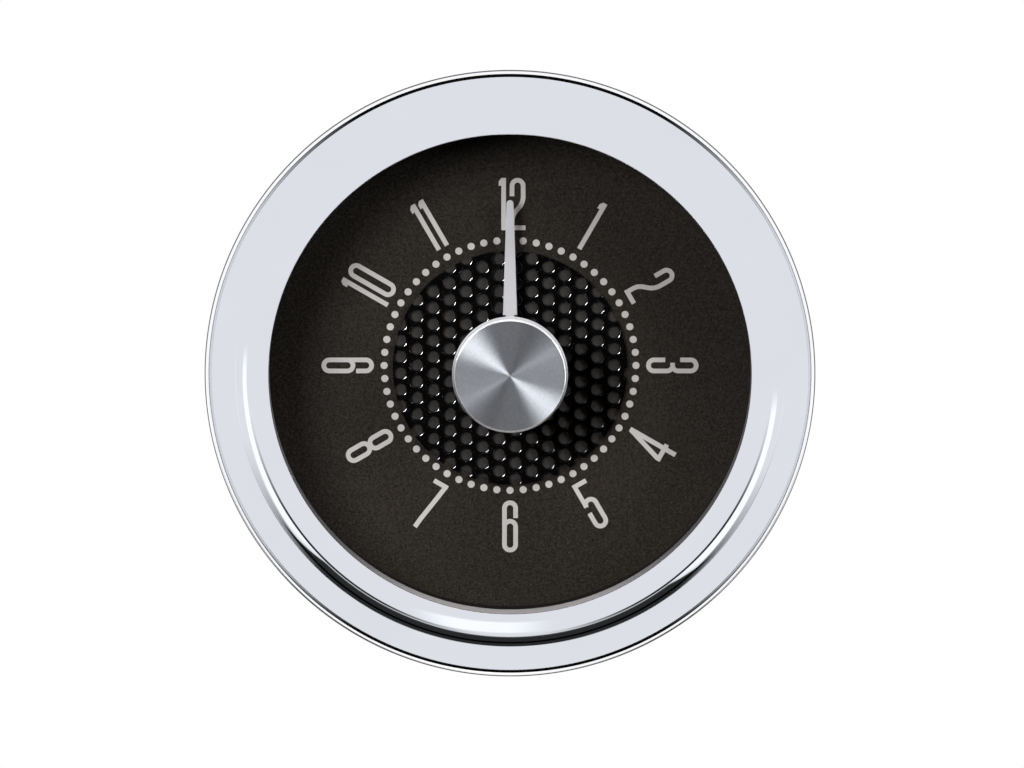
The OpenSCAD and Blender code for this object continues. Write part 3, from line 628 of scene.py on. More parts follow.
def flat_union(outlines: Sequence[Sequence[Point]]) -> Flat:
    """Joins overlapping flat outlines.

    Args:
        outlines: Each a simple closed outline.

    Returns:
        The points and triangles of what the outlines cover together.
    """
    points, faces = [], []
    for outline in outlines:
        area = sum(a[0] * b[1] - b[0] * a[1] for a, b in zip(outline, [*outline[1:], outline[0]]))
        start = len(points)
        points += [Vector(p) for p in (outline if area > 0 else outline[::-1])]
        faces.append(list(range(start, len(points))))
    inside_only, nearest = 1, 1e-5
    corners, _, triangles, _, _, sources = geometry.delaunay_2d_cdt(
        points, [], faces, inside_only, nearest
    )
    kept = [list(t) for t, source in zip(triangles, sources) if source]
    return [tuple(p) for p in corners], kept


def plate(flat: Flat, back: float, front: float) -> Shell:
    """Gives a flat shape a thickness.

    Args:
        flat: Points and triangles of the shape.
        back: Height of its rear face.
        front: Height of its front face.

    Returns:
        The points and faces of the closed plate.
    """
    outline, triangles = flat
    count = len(outline)
    points = [place(x, y, front) for x, y in outline] + [place(x, y, back) for x, y in outline]
    edges: dict[tuple[int, int], int] = {}
    for t in triangles:
        for a, b in zip(t, t[1:] + t[:1]):
            edges[(a, b)] = edges.get((a, b), 0) + 1
    faces = [list(t) for t in triangles] + [[i + count for i in reversed(t)] for t in triangles]
    faces += [[b, a, a + count, b + count] for a, b in edges if (b, a) not in edges]
    return points, faces


def mesh_of(name: str, shells: Iterable[Shell]) -> bpy.types.Mesh:
    """Makes one mesh whose normals point outwards from closed shells.

    Args:
        name: Name of the mesh.
        shells: Points and faces of each shell.

    Returns:
        The mesh.
    """
    points: list[Vector] = []
    faces: list[list[int]] = []
    for shell_points, shell_faces in shells:
        start = len(points)
        points += shell_points
        faces += [[i + start for i in f] for f in shell_faces]
    mesh = bpy.data.meshes.new(name)
    mesh.from_pydata(points, [], faces)
    work = bmesh.new()
    work.from_mesh(mesh)
    bmesh.ops.remove_doubles(work, verts=work.verts, dist=1e-8)
    bmesh.ops.recalc_face_normals(work, faces=work.faces)
    work.to_mesh(mesh)
    work.free()
    return mesh


@dataclass(frozen=True)
class Piece:
    """A piece of the scene: what carries it, and the CAD nodes that it stands for.

    Its edges stay hard where they bend by more than the sharp angle, in degrees.
    """

    name: str
    body: str
    slot: str
    nodes: tuple[str, ...] = ()
    sharp: float = 32.0

    def put(self, mesh: bpy.types.Mesh, *finishes: Finish) -> bpy.types.Object:
        """Puts a mesh into the scene as this piece.

        Args:
            mesh: The piece's mesh, in place.
            *finishes: Its finishes, in the order of its material slots.

        Returns:
            The piece's object.
        """
        return self.dress(add_object(self.name, mesh), *finishes)

    def dress_mixed(
        self, item: bpy.types.Object, finish_at: Callable[[bpy.types.MeshPolygon], Finish]
    ) -> bpy.types.Object:
        """Dresses an object whose faces have several finishes.

        Args:
            item: The object.
            finish_at: Tells the finish of a face.

        Returns:
            The same object.
        """
        finishes = [finish_at(polygon) for polygon in item.data.polygons]
        kinds = list(dict.fromkeys(finishes))
        self.dress(item, *kinds)
        for polygon, finish in zip(item.data.polygons, finishes):
            polygon.material_index = kinds.index(finish)
        return item

    def dress(self, item: bpy.types.Object, *finishes: Finish) -> bpy.types.Object:
        """Gives an object its finishes and its body, and hides the CAD nodes that it stands for.

        Args:
            item: The object.
            *finishes: Its finishes. None leaves the ones that it has.

        Returns:
            The same object.
        """
        if finishes:
            item.data.materials.clear()
            for finish in finishes:
                item.data.materials.append(finish.material())
        item.data.shade_smooth()
        item.data.set_sharp_from_angle(angle=math.radians(self.sharp))
        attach(item, self.body)
        if self.nodes:
            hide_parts(*self.nodes)
        LOG.info("%s rides on %s with %d faces", self.name, self.body, len(item.data.polygons))
        return item


def smooth_copy(node: str) -> bpy.types.Mesh:
    """Copies a CAD node's mesh and joins its loose triangles.

    Args:
        node: Name of the node.

    Returns:
        The joined mesh.
    """
    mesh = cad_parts[node].data.copy()
    work = bmesh.new()
    work.from_mesh(mesh)
    bmesh.ops.remove_doubles(work, verts=work.verts, dist=1e-7)
    bmesh.ops.dissolve_limit(
        work, angle_limit=math.radians(0.5), verts=work.verts, edges=work.edges
    )
    work.to_mesh(mesh)
    work.free()
    mesh.name = f"{node}_joined"
    return mesh


def finish_nodes(nodes: Iterable[str], finish: Finish) -> None:
    """Gives CAD nodes a finish and leaves their shape alone.

    Args:
        nodes: Names of the nodes.
        finish: Their finish.
    """
    for name in nodes:
        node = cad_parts[name]
        node.data.materials.clear()
        node.data.materials.append(finish.material())
        LOG.info("%s is finished in %s", name, finish.name)


def apply_modifiers(item: bpy.types.Object) -> None:
    """Replaces an object's mesh by what its modifiers make of it, and removes them.

    Args:
        item: The object.
    """
    graph = bpy.context.evaluated_depsgraph_get()
    mesh = bpy.data.meshes.new_from_object(item.evaluated_get(graph))
    item.modifiers.clear()
    item.data = mesh


class Pattern:
    """A Geometry Nodes tree that makes a repeated shape, with its sizes as inputs."""

    def __init__(self, name: str, sizes: dict[str, float | int]) -> None:
        """Starts the tree.

        Args:
            name: Name of the tree.
            sizes: Value of each named input.
        """
        self.sizes = sizes
        self.tree = bpy.data.node_groups.new(name, "GeometryNodeTree")
        for label, value in sizes.items():
            kind = "NodeSocketInt" if isinstance(value, int) else "NodeSocketFloat"
            self.tree.interface.new_socket(label, in_out="INPUT", socket_type=kind)
        self.tree.interface.new_socket(
            "Geometry", in_out="OUTPUT", socket_type="NodeSocketGeometry"
        )
        self.source = self.tree.nodes.new("NodeGroupInput")

    def size(self, label: str) -> bpy.types.NodeSocket:
        """Returns the socket of a named input."""
        return self.source.outputs[label]

    def add(
        self, kind: str, inputs: dict[str | int, object] | None = None, **settings: object
    ) -> bpy.types.Node:
        """Adds a node to the tree.

        Args:
            kind: The node's type.
            inputs: Values or sockets for its inputs.
            **settings: Values for its own properties.

        Returns:
            The new node.
        """
        return add_node(self.tree, kind, inputs, **settings)

    def build(self, shape: bpy.types.NodeSocket, finish: Finish, name: str) -> bpy.types.Object:
        """Ends the tree and turns its result into a plain mesh.

        Args:
            shape: The geometry that the tree made.
            finish: Finish of the result.
            name: Name of the object.

        Returns:
            An object whose mesh is the result.
        """
        real = self.add("GeometryNodeRealizeInstances", {"Geometry": shape})
        dressed = self.add(
            "GeometryNodeSetMaterial",
            {"Geometry": real.outputs["Geometry"], "Material": finish.material()},
        )
        output = self.tree.nodes.new("NodeGroupOutput")
        self.tree.links.new(dressed.outputs["Geometry"], output.inputs["Geometry"])
        item = add_object(name, bpy.data.meshes.new(name))
        modifier = item.modifiers.new(self.tree.name, "NODES")
        modifier.node_group = self.tree
        for socket in self.tree.interface.items_tree:
            if socket.in_out == "INPUT":
                modifier[socket.identifier] = self.sizes[socket.name]
        apply_modifiers(item)
        return item


# Sub-assemblies


@dataclass(frozen=True)
class Bezel:
    """Chrome bezel: a rounded bead, a sloping face, a flat ring, a groove and a rolled rim,
    whose foot is drawn in."""

    opening: float = 40.1
    bead_radius: float = 4.2
    crown_r: float = 42.6
    crown_h: float = 4.0
    lip_round: float = 0.3
    # How far below the lip a point keeps the wall straight
    lip_hold: float = 0.03
    # Radius and tilt in degrees of the slope, from the bead to the flat ring
    bends: tuple[Point, ...] = ((43.3, 9.6), (43.85, 27.0), (45.6, 34.6), (45.82, 2.35))
    slope_steps: int = 14
    flat_end: Point = (49.65, 2.45)
    flat_round: float = 0.06
    # The flat ring falls by so much over so far
    flat_fall: float = 0.15
    flat_run: float = 3.65
    groove: Point = (50.0, 1.85)
    rim_r: float = 50.8
    rim_h: float = 2.4
    rim_round: float = 0.4
    rim_draft: float = 0.4
    # How far down the rim's painted highlight and painted dark outline reach, in roundings
    rim_down: float = 1.25
    # Least share of its normal that points outwards where a face of the rim gets the painted dark
    # outline
    edge_from: float = 0.6
    seat_r: float = 45.55
    flange_h: float = 0.95
    collar_r: float = 41.55
    collar_end: float = -2.2
    near: float = 0.02

    def slope(self, start: Point) -> list[Point]:
        """Runs down the slope, whose steepness changes without a break.

        Args:
            start: Where the bead ends.

        Returns:
            The points of the slope, down to the flat ring.
        """
        points, (radius, height) = [], start
        for (r0, t0), (r1, t1) in zip(self.bends, self.bends[1:]):
            run = (r1 - r0) / self.slope_steps
            for i in range(self.slope_steps):
                tilt = t0 + (t1 - t0) * (i + 0.5) / self.slope_steps
                radius += run
                height -= run * math.tan(math.radians(tilt))
                points.append((radius, height))
        miss = points[-1][1] - self.flat_height(points[-1][0])
        count = len(points)
        return [(r, z - miss * (i + 1) / count) for i, (r, z) in enumerate(points)]

    def flat_height(self, radius: float) -> float:
        """Returns the height of the flat ring, which falls a little outwards."""
        return self.flat_end[1] + (self.flat_end[0] - radius) * self.flat_fall / self.flat_run

    def profile(self) -> list[Point]:
        """Draws the closed section of the bezel.

        Returns:
            Radius and height of its points.
        """
        cz = self.crown_h - self.bead_radius
        across = self.crown_r - self.opening - self.lip_round
        reach = self.bead_radius - self.lip_round
        lip_z = cz + math.sqrt(reach**2 - across**2)
        lip_angle = math.degrees(math.atan2(lip_z - cz, -across))
        end_angle = math.degrees(math.acos((self.bends[0][0] - self.crown_r) / self.bead_radius))
        lip = arc(self.opening + self.lip_round, lip_z, self.lip_round, 180, lip_angle, 8)
        bead = arc(self.crown_r, cz, self.bead_radius, lip_angle, end_angle, 48)
        slope = self.slope(bead[-1])
        rim_c = self.rim_r - self.rim_round
        outer = rounded(
            [
                (*slope[-1], 0), (*self.flat_end, self.flat_round),
                (self.flat_end[0], self.groove[1], 0), (*self.groove, 0),
            ]
        )
        lean = math.degrees(math.atan2(-self.rim_draft, self.rim_h - 2 * self.rim_round))
        rim = arc(rim_c, self.rim_h - self.rim_round, self.rim_round, 180, lean, 16)
        foot = arc(rim_c - self.rim_draft, self.rim_round, self.rim_round, lean, -90, 8)
        back = [
            (self.seat_r, 0.0), (self.seat_r, self.flange_h),
            (self.collar_r, self.flange_h), (self.collar_r, self.collar_end),
            (self.opening, self.collar_end),
        ]
        start = [(self.opening, lip_z - self.lip_hold)]
        return [*start, *lip, *bead[1:], *slope[:-1], *outer, *rim, *foot, *back]

    def finish_at(self, polygon: bpy.types.MeshPolygon) -> Finish:
        """Tells the finish of a face of the ring.

        Args:
            polygon: The face.

        Returns:
            Its finish.
        """
        radius, height = drawn(polygon.center)
        # The groove gets painted shade, the collar's wall painted shade at its sides, and the rim
        # a painted highlight on its crown and a painted dark outline on its edge
        inside = self.flat_end[0] - self.near < radius < self.groove[0] + self.near
        if inside and self.groove[1] - self.near < height < self.flat_end[1] - self.flat_round:
            return GROOVE_PAINTED_SHADE
        if radius < self.opening + self.near:
            return WALL_CHROME_SIDE_SHADE
        if radius > self.groove[0] and height > self.rim_h - self.rim_down * self.rim_round:
            away = Vector((polygon.center.x, 0.0, polygon.center.z)).normalized()
            return RIM_PAINTED_OUTLINE if polygon.normal.dot(away) > self.edge_from else RIM_PAINTED_HIGHLIGHT
        return CHROME

    def build(self) -> None:
        """Builds the bezel."""
        item = add_object("bezel_ring", mesh_of("bezel_ring", [revolve(self.profile(), 384)]))
        piece = Piece("bezel_ring", "clock", "bezel_chrome", ("bezel",))
        piece.dress_mixed(item, self.finish_at)


@dataclass(frozen=True)
class Dial:
    """Dial with its printed numbers, its ring of dots and the rings in front of it."""

    front: float = -10.0
    ink: float = 0.02
    numbers_r: float = 27.12
    height: float = 8.76
    width: float = 2.64
    stroke: float = 0.78
    gap: float = 0.62
    # The two ones of eleven stand closer, and twelve stands a little to the right
    eleven_gap: float = 0.55
    twelve_aside: float = 0.35
    dots_r: float = 21.04
    dot_d: float = 1.2
    dots: int = 60
    # How far the two halves of a bow overlap
    lap: float = 0.01
    # Least share that keeps the corner of a sharp bend near the stroke
    mitre: float = 0.3

    def ribbon(self, line: Sequence[Point]) -> list[Point]:
        """Outline of a stroke with square ends.

        Args:
            line: Middle line of the stroke.

        Returns:
            The closed outline.
        """
        half = self.stroke / 2
        left, right = [], []
        points = [Vector(p) for p in line]
        for i, p in enumerate(points):
            a = (p - points[i - 1]).normalized() if i else None
            b = (points[i + 1] - p).normalized() if i + 1 < len(points) else None
            a, b = a or b, b or a
            na, nb = Vector((-a.y, a.x)), Vector((-b.y, b.x))
            middle = (na + nb).normalized()
            reach = middle * (half / max(self.mitre, middle.dot(na)))
            left.append(tuple(p + reach))
            right.append(tuple(p - reach))
        return left + right[::-1]

    def block(self, x0: float, y0: float, x1: float, y1: float) -> list[Point]:
        """Returns the outline of an upright block."""
        return [(x0, y0), (x1, y0), (x1, y1), (x0, y1)]

    def digit(self, digit: str) -> list[list[Point]]:
        """Outlines of a digit, whose box starts at the origin.

        Args:
            digit: One digit.

        Returns:
            The outlines, which may overlap.
        """
        s, w, h = self.stroke, self.width, self.height
        left, right, low, top = s / 2, w - s / 2, s / 2, h - s / 2
        middle, bow = w / 2, (w - s) / 2
        over = arc(middle, top - bow, bow, 180, 0, 16)
        under = arc(middle, low + bow, bow, 0, -180, 16)
        waist, over_half = h * 0.505, h / 2 + self.lap
        if digit == "0":
            return [self.ribbon([(left, h / 2), *over, (right, h / 2)]),
                    self.ribbon([(right, over_half), *under, (left, over_half)])]
        if digit == "1":
            flag = [(0.44, h), (0, h - 0.55), (0, h - 1.35), (0.44, h - 1.25)]
            return [self.block(0.42, 0, 0.42 + s, h), flag]
        if digit == "2":
            neck = [(right, 0.62 * h), (right - 0.12, 0.55 * h), (right - 0.42, 0.47 * h)]
            foot = [(left + 0.42, 0.33 * h), (left + 0.1, 0.26 * h), (left, 0.18 * h)]
            return [self.ribbon([(left, 0.65 * h), *over, *neck, *foot, (left, 0)]),
                    self.block(0, 0, w, s)]
        if digit == "3":
            upper = arc(middle, waist + bow, bow, 0, -62, 6)
            lower = arc(middle, waist - bow, bow, 62, 0, 6)
            return [self.ribbon([(left, 0.65 * h), *over, *upper]),
                    self.ribbon([*lower, *under, (left, 0.365 * h)]),
                    self.block(middle - 0.45, waist - s / 2, middle + 0.75, waist + s / 2)]
        if digit == "4":
            stem, bar = 1.95, 1.72
            return [self.block(stem, 0, stem + 0.8, h), self.block(0, bar, 3.15, bar + 0.8),
                    [(stem, h), (0, bar + 0.8), (0, bar), (0.72, bar + 0.4), (stem + 0.8, h)]]
        if digit == "5":
            bowl = arc(middle, 0.655 * h - s / 2 - bow, bow, 140, 0, 12)
            return [self.block(0.08, h - s, w, h), self.block(0.08, 0.5 * h, s + 0.03, h),
                    self.ribbon([(left, 0.5 * h), *bowl, *under, (left, 0.375 * h)])]
        if digit in "69":
            bowl = arc(middle, 0.645 * h - s / 2 - bow, bow, 180, 0, 16)
            shapes = [self.ribbon([(right, 0.66 * h), *over[::-1], (left, h / 2)]),
                      self.ribbon([(left, over_half), *under[::-1], (right, h / 2)]),
                      self.ribbon([(left, 0.45 * h), *bowl, (right, 0.45 * h)])]
            turned = [[(w - x, h - y) for x, y in shape] for shape in shapes]
            return shapes if digit == "6" else turned
        if digit == "7":
            leg = [(right, h - s / 2), (1.72, 0.52 * h), (1.28, 0.2 * h), (1.12, 0)]
            return [self.block(0, h - s, w, h), self.ribbon(leg)]
        loops = ((waist + 0.17, h - s / 2), (s / 2, waist - 0.17))
        shapes = []
        for base, head in loops:
            lid = arc(middle, head - bow, bow, 180, 0, 16)
            bed = arc(middle, base + bow, bow, 0, -180, 16)
            half = (base + head) / 2
            shapes.append(self.ribbon([(left, half), *lid, (right, half)]))
            joint = half + self.lap
            shapes.append(self.ribbon([(right, joint), *bed, (left, joint)]))
        return shapes

    def number(self, hour: int) -> Shell:
        """Prints the number of an hour.

        Args:
            hour: The hour, from 1 to 12.

        Returns:
            The points and faces of the ink.
        """
        facing = Facing.INWARD if 4 <= hour <= 8 else Facing.OUTWARD
        outlines, start = [], 0.0
        for digit in str(hour):
            shapes = self.digit(digit)
            outlines += [[(x + start, y) for x, y in shape] for shape in shapes]
            wide = max(x for shape in shapes for x, _ in shape)
            start += wide + self.gap * (self.eleven_gap if hour == 11 else 1)
        xs = [x for shape in outlines for x, _ in shape]
        aside = (min(xs) + max(xs)) / 2 - (self.twelve_aside if hour == 12 else 0)
        points, triangles = flat_union(outlines)
        turn = math.radians(-30 * hour)
        flip = math.cos(math.radians(facing.value))
        moved = []
        for x, y in points:
            u, v = (x - aside) * flip, (y - self.height / 2) * flip + self.numbers_r
            moved.append((u * math.cos(turn) - v * math.sin(turn),
                          u * math.sin(turn) + v * math.cos(turn)))
        return plate((moved, triangles), self.front, self.front + self.ink)

    def print_numbers(self) -> None:
        """Prints the twelve numbers."""
        mesh = mesh_of("hour_numbers", [self.number(hour) for hour in range(1, 13)])
        Piece("hour_numbers", "clock", "hand_paint").put(mesh, INK)

    def print_dots(self) -> None:
        """Prints the ring of minute dots."""
        pattern = Pattern(
            "minute_dots",
            {"Dots": self.dots, "Ring Radius": self.dots_r * MM, "Dot Radius": self.dot_d / 2 * MM,
             "Ink": self.ink * MM, "Behind Panel": -(self.front + self.ink / 2) * MM},
        )
        ring = pattern.add(
            "GeometryNodeMeshCircle",
            {"Vertices": pattern.size("Dots"), "Radius": pattern.size("Ring Radius")},
        )
        dot = pattern.add(
            "GeometryNodeMeshCylinder",
            {"Vertices": 28, "Radius": pattern.size("Dot Radius"), "Depth": pattern.size("Ink")},
        )
        spots = pattern.add(
            "GeometryNodeInstanceOnPoints",
            {"Points": ring.outputs["Mesh"], "Instance": dot.outputs["Mesh"]},
        )
        lift = pattern.add("ShaderNodeCombineXYZ", {"Y": pattern.size("Behind Panel")})
        stood = pattern.add(
            "GeometryNodeTransform",
            {"Geometry": spots.outputs["Instances"], "Translation": lift.outputs["Vector"],
             "Rotation": (math.pi / 2, 0.0, 0.0)},
        )
        item = pattern.build(stood.outputs["Geometry"], INK, "minute_dots")
        Piece("minute_dots", "clock", "hand_paint").dress(item)

    def build(self) -> None:
        """Finishes the dial and prints it."""
        finish_nodes(["dial_plate"], DIAL_PAINT)
        self.print_numbers()
        self.print_dots()


@dataclass(frozen=True)
class PerforatedDisc:
    """Round piece of black perforated sheet that lies on the dial."""

    radius: float = 19.6
    back: float = -10.0
    thickness: float = 0.6
    low: float = 0.35
    hole_r: float = 0.985
    pitch: float = 2.745
    rows: int = 17
    first: Point = (0.84, 0.485)
    hub_r: float = 3.2
    hub_edge: float = 0.3
    edge_round: float = 0.28
    punch_reach: float = 0.5
    # Share of its normal that points forwards where a face is a perforation's round edge
    edge_least: float = 0.1
    edge_most: float = 0.999

    def punch(self) -> bpy.types.Object:
        """Turns the punch, which widens where the sheet is drawn in round a hole.

        Returns:
            The punch, which stands in no scene.
        """
        front = self.thickness / 2
        end = front + self.punch_reach
        flare = arc(
            self.hole_r + self.edge_round, front - self.edge_round, self.edge_round, 180, 100, 7
        )
        profile = [(0.0, end), (flare[-1][0], end), *flare[::-1], (self.hole_r, -end), (0.0, -end)]
        return bpy.data.objects.new("sheet_punch", mesh_of("sheet_punch", [revolve(profile, 36)]))

    def spots(self, pattern: Pattern, hub: bpy.types.NodeSocket) -> bpy.types.NodeSocket:
        """Sets out the holes in staggered rows, and drops those off the sheet or at the hub.

        Args:
            pattern: The sheet's pattern.
            hub: Place of the hub.

        Returns:
            The socket of the holes' points.
        """
        size, add = pattern.size, pattern.add
        grid = add(
            "GeometryNodeMeshGrid",
            {"Size X": size("Span"), "Size Y": size("Span"), "Vertices X": size("Rows"),
             "Vertices Y": size("Rows")},
        ).outputs["Mesh"]
        spot = add("GeometryNodeInputPosition").outputs["Position"]
        across = add("ShaderNodeSeparateXYZ", {"Vector": spot}).outputs["X"]
        pitches = add("ShaderNodeMath", {0: across, 1: size("Pitch")}, operation="DIVIDE")
        column = add("ShaderNodeMath", {0: pitches.outputs[0]}, operation="ROUND")
        odd = add("ShaderNodeMath", {0: column.outputs[0], 1: 2.0}, operation="FLOORED_MODULO")
        up = add(
            "ShaderNodeMath", {0: odd.outputs[0], 1: size("Stagger"), 2: size("First Y")},
            operation="MULTIPLY_ADD",
        ).outputs[0]
        shift = add("ShaderNodeCombineXYZ", {"X": size("First X"), "Y": up}).outputs["Vector"]
        moved = add("GeometryNodeSetPosition", {"Geometry": grid, "Offset": shift})
        out = add("ShaderNodeVectorMath", {0: spot}, operation="LENGTH").outputs["Value"]
        off = add("ShaderNodeMath", {0: out, 1: size("Outer Reach")}, operation="GREATER_THAN")
        away = add("ShaderNodeVectorMath", {0: spot, 1: hub}, operation="DISTANCE")
        near = add(
            "ShaderNodeMath", {0: away.outputs["Value"], 1: size("Hub Clearance")},
            operation="LESS_THAN",
        )
        dropped = add(
            "ShaderNodeMath", {0: off.outputs[0], 1: near.outputs[0]}, operation="MAXIMUM"
        )
        return add(
            "GeometryNodeDeleteGeometry",
            {"Geometry": moved.outputs["Geometry"], "Selection": dropped.outputs[0]},
        ).outputs["Geometry"]

    def cutters(
        self, pattern: Pattern, tool: bpy.types.Object, hub: bpy.types.NodeSocket
    ) -> bpy.types.NodeSocket:
        """Stands a punch on every hole, and a wide one on the hub.

        Args:
            pattern: The sheet's pattern.
            tool: The punch.
            hub: Place of the hub.

        Returns:
            The socket of all cutters together.
        """
        size, add = pattern.size, pattern.add
        punch = add("GeometryNodeObjectInfo", {"Object": tool}, transform_space="ORIGINAL")
        laid = add(
            "GeometryNodeTransform",
            {"Geometry": punch.outputs["Geometry"], "Rotation": (-math.pi / 2, 0.0, 0.0)},
        )
        holes = add(
            "GeometryNodeInstanceOnPoints",
            {"Points": self.spots(pattern, hub), "Instance": laid.outputs["Geometry"]},
        )
        centre = add(
            "GeometryNodeMeshCylinder",
            {"Vertices": 64, "Radius": size("Hub Radius"), "Depth": size("Cut Depth")},
        )
        centred = add(
            "GeometryNodeTransform", {"Geometry": centre.outputs["Mesh"], "Translation": hub}
        )
        joined = add("GeometryNodeJoinGeometry")
        for part in (holes.outputs["Instances"], centred.outputs["Geometry"]):
            pattern.tree.links.new(part, joined.inputs[0])
        return add(
            "GeometryNodeRealizeInstances", {"Geometry": joined.outputs["Geometry"]}
        ).outputs["Geometry"]

    def sheet(self) -> bpy.types.Object:
        """Punches the staggered holes out of the sheet.

        Returns:
            The punched disc.
        """
        tool = self.punch()
        pattern = Pattern(
            "perforated_sheet",
            {"Disc Radius": self.radius * MM, "Thickness": self.thickness * MM,
             "Rows": self.rows, "Pitch": self.pitch * MM,
             "Span": self.pitch * (self.rows - 1) * MM, "Stagger": self.pitch / 2 * MM,
             "First X": self.first[0] * MM, "First Y": self.first[1] * MM,
             "Outer Reach": (self.radius + self.hole_r / 2) * MM,
             "Hub Radius": self.hub_r * MM,
             "Hub Clearance": (self.hub_r + self.hole_r + self.hub_edge) * MM,
             "Hub Above": self.low * MM, "Disc Below": -self.low * MM,
             "Cut Depth": 3 * self.thickness * MM,
             "Behind Panel": -(self.back + self.thickness / 2) * MM},
        )
        size, add = pattern.size, pattern.add
        hub = add("ShaderNodeCombineXYZ", {"Y": size("Hub Above")}).outputs["Vector"]
        cutters = self.cutters(pattern, tool, hub)
        blank = add(
            "GeometryNodeMeshCylinder",
            {"Vertices": 256, "Radius": size("Disc Radius"), "Depth": size("Thickness")},
        )
        punched = add(
            "GeometryNodeMeshBoolean", {"Mesh 1": blank.outputs["Mesh"], "Mesh 2": cutters},
            operation="DIFFERENCE", solver="EXACT",
        )
        lift = add("ShaderNodeCombineXYZ", {"Y": size("Behind Panel"), "Z": size("Disc Below")})
        stood = add(
            "GeometryNodeTransform",
            {"Geometry": punched.outputs["Mesh"], "Translation": lift.outputs["Vector"],
             "Rotation": (math.pi / 2, 0.0, 0.0)},
        )
        item = pattern.build(stood.outputs["Geometry"], ENAMEL, "punched_disc")
        bpy.data.objects.remove(tool)
        return item

    def finish_at(self, polygon: bpy.types.MeshPolygon) -> Finish:
        """Returns the finish of a face: the drawn edges of the perforations shine."""
        forwards = -polygon.normal.y
        return ENAMEL_EDGE if self.edge_least < forwards < self.edge_most else ENAMEL

    def build(self) -> None:
        """Builds the disc with its rounded, shining edges."""
        piece = Piece(
            "punched_disc", "clock", "disc_enamel", ("perforated_disc",), sharp=20.0
        )
        piece.dress_mixed(self.sheet(), self.finish_at)


@dataclass(frozen=True)
class Hand:
    """One hand: a hub, a narrow neck and a blade that tapers to a round tip."""

    name: str
    body: str
    length: float
    back: float
    thickness: float = 0.45
    hub_r: float = 3.0
    bore_r: float = 1.6
    neck_w: float = 1.44
    neck_root: float = 1.8
    blade_root: float = 8.75
    overlap: float = 1.0
    blade_w: float = 2.36
    tip_w: float = 1.18
    edge: float = 0.12
    # Least angle of an edge that is bevelled, in degrees
    edge_angle: float = 50.0
    boss_r: float = 0.0
    boss_h: float = 0.15
    boss_sunk: float = 0.1
    boss_round: float = 0.05

    def outlines(self) -> list[list[Point]]:
        """Draws the hand.

        Returns:
            Its overlapping outlines: the two halves of the hub, the neck and the blade.
        """
        tip = self.length - self.tip_w / 2
        half, neck = self.blade_w / 2, self.neck_w / 2
        blade = [(-half, self.blade_root), (half, self.blade_root),
                 *arc(0, tip, self.tip_w / 2, 0, 180, 24)]
        stalk = [(-neck, self.neck_root), (neck, self.neck_root),
                 (neck, self.blade_root + self.overlap), (-neck, self.blade_root + self.overlap)]
        outer = arc(0, 0, self.hub_r, 0, 180, 32)
        inner = arc(0, 0, self.bore_r, 180, 0, 32)
        upper = [*outer, *inner]
        return [upper, [(x, -y) for x, y in reversed(upper)], stalk, blade]

    def build(self) -> None:
        """Builds the hand with its bevelled edges."""
        shape = plate(flat_union(self.outlines()), self.back, self.back + self.thickness)
        item = add_object(f"{self.name}_blade", mesh_of(self.name, [shape]))
        bevel = item.modifiers.new("bevelled_edges", "BEVEL")
        bevel.width = self.edge * MM
        bevel.segments = 2
        bevel.limit_method = "ANGLE"
        bevel.angle_limit = math.radians(self.edge_angle)
        apply_modifiers(item)
        if self.boss_r:
            low = self.back + self.boss_sunk
            high = self.back + self.thickness + self.boss_h
            ring = rounded(
                [(self.bore_r, low, 0), (self.boss_r, low, 0),
                 (self.boss_r, high, self.boss_round), (self.bore_r, high, self.boss_round)],
                hold=0.01,
            )
            boss = mesh_of(f"{self.name}_boss", [revolve(ring, 96)])
            work = bmesh.new()
            work.from_mesh(item.data)
            work.from_mesh(boss)
            work.to_mesh(item.data)
            work.free()
            bpy.data.meshes.remove(boss)
        piece = Piece(f"{self.name}_blade", self.body, "hand_paint", (self.name,))
        piece.dress(item, HAND_PAINT)


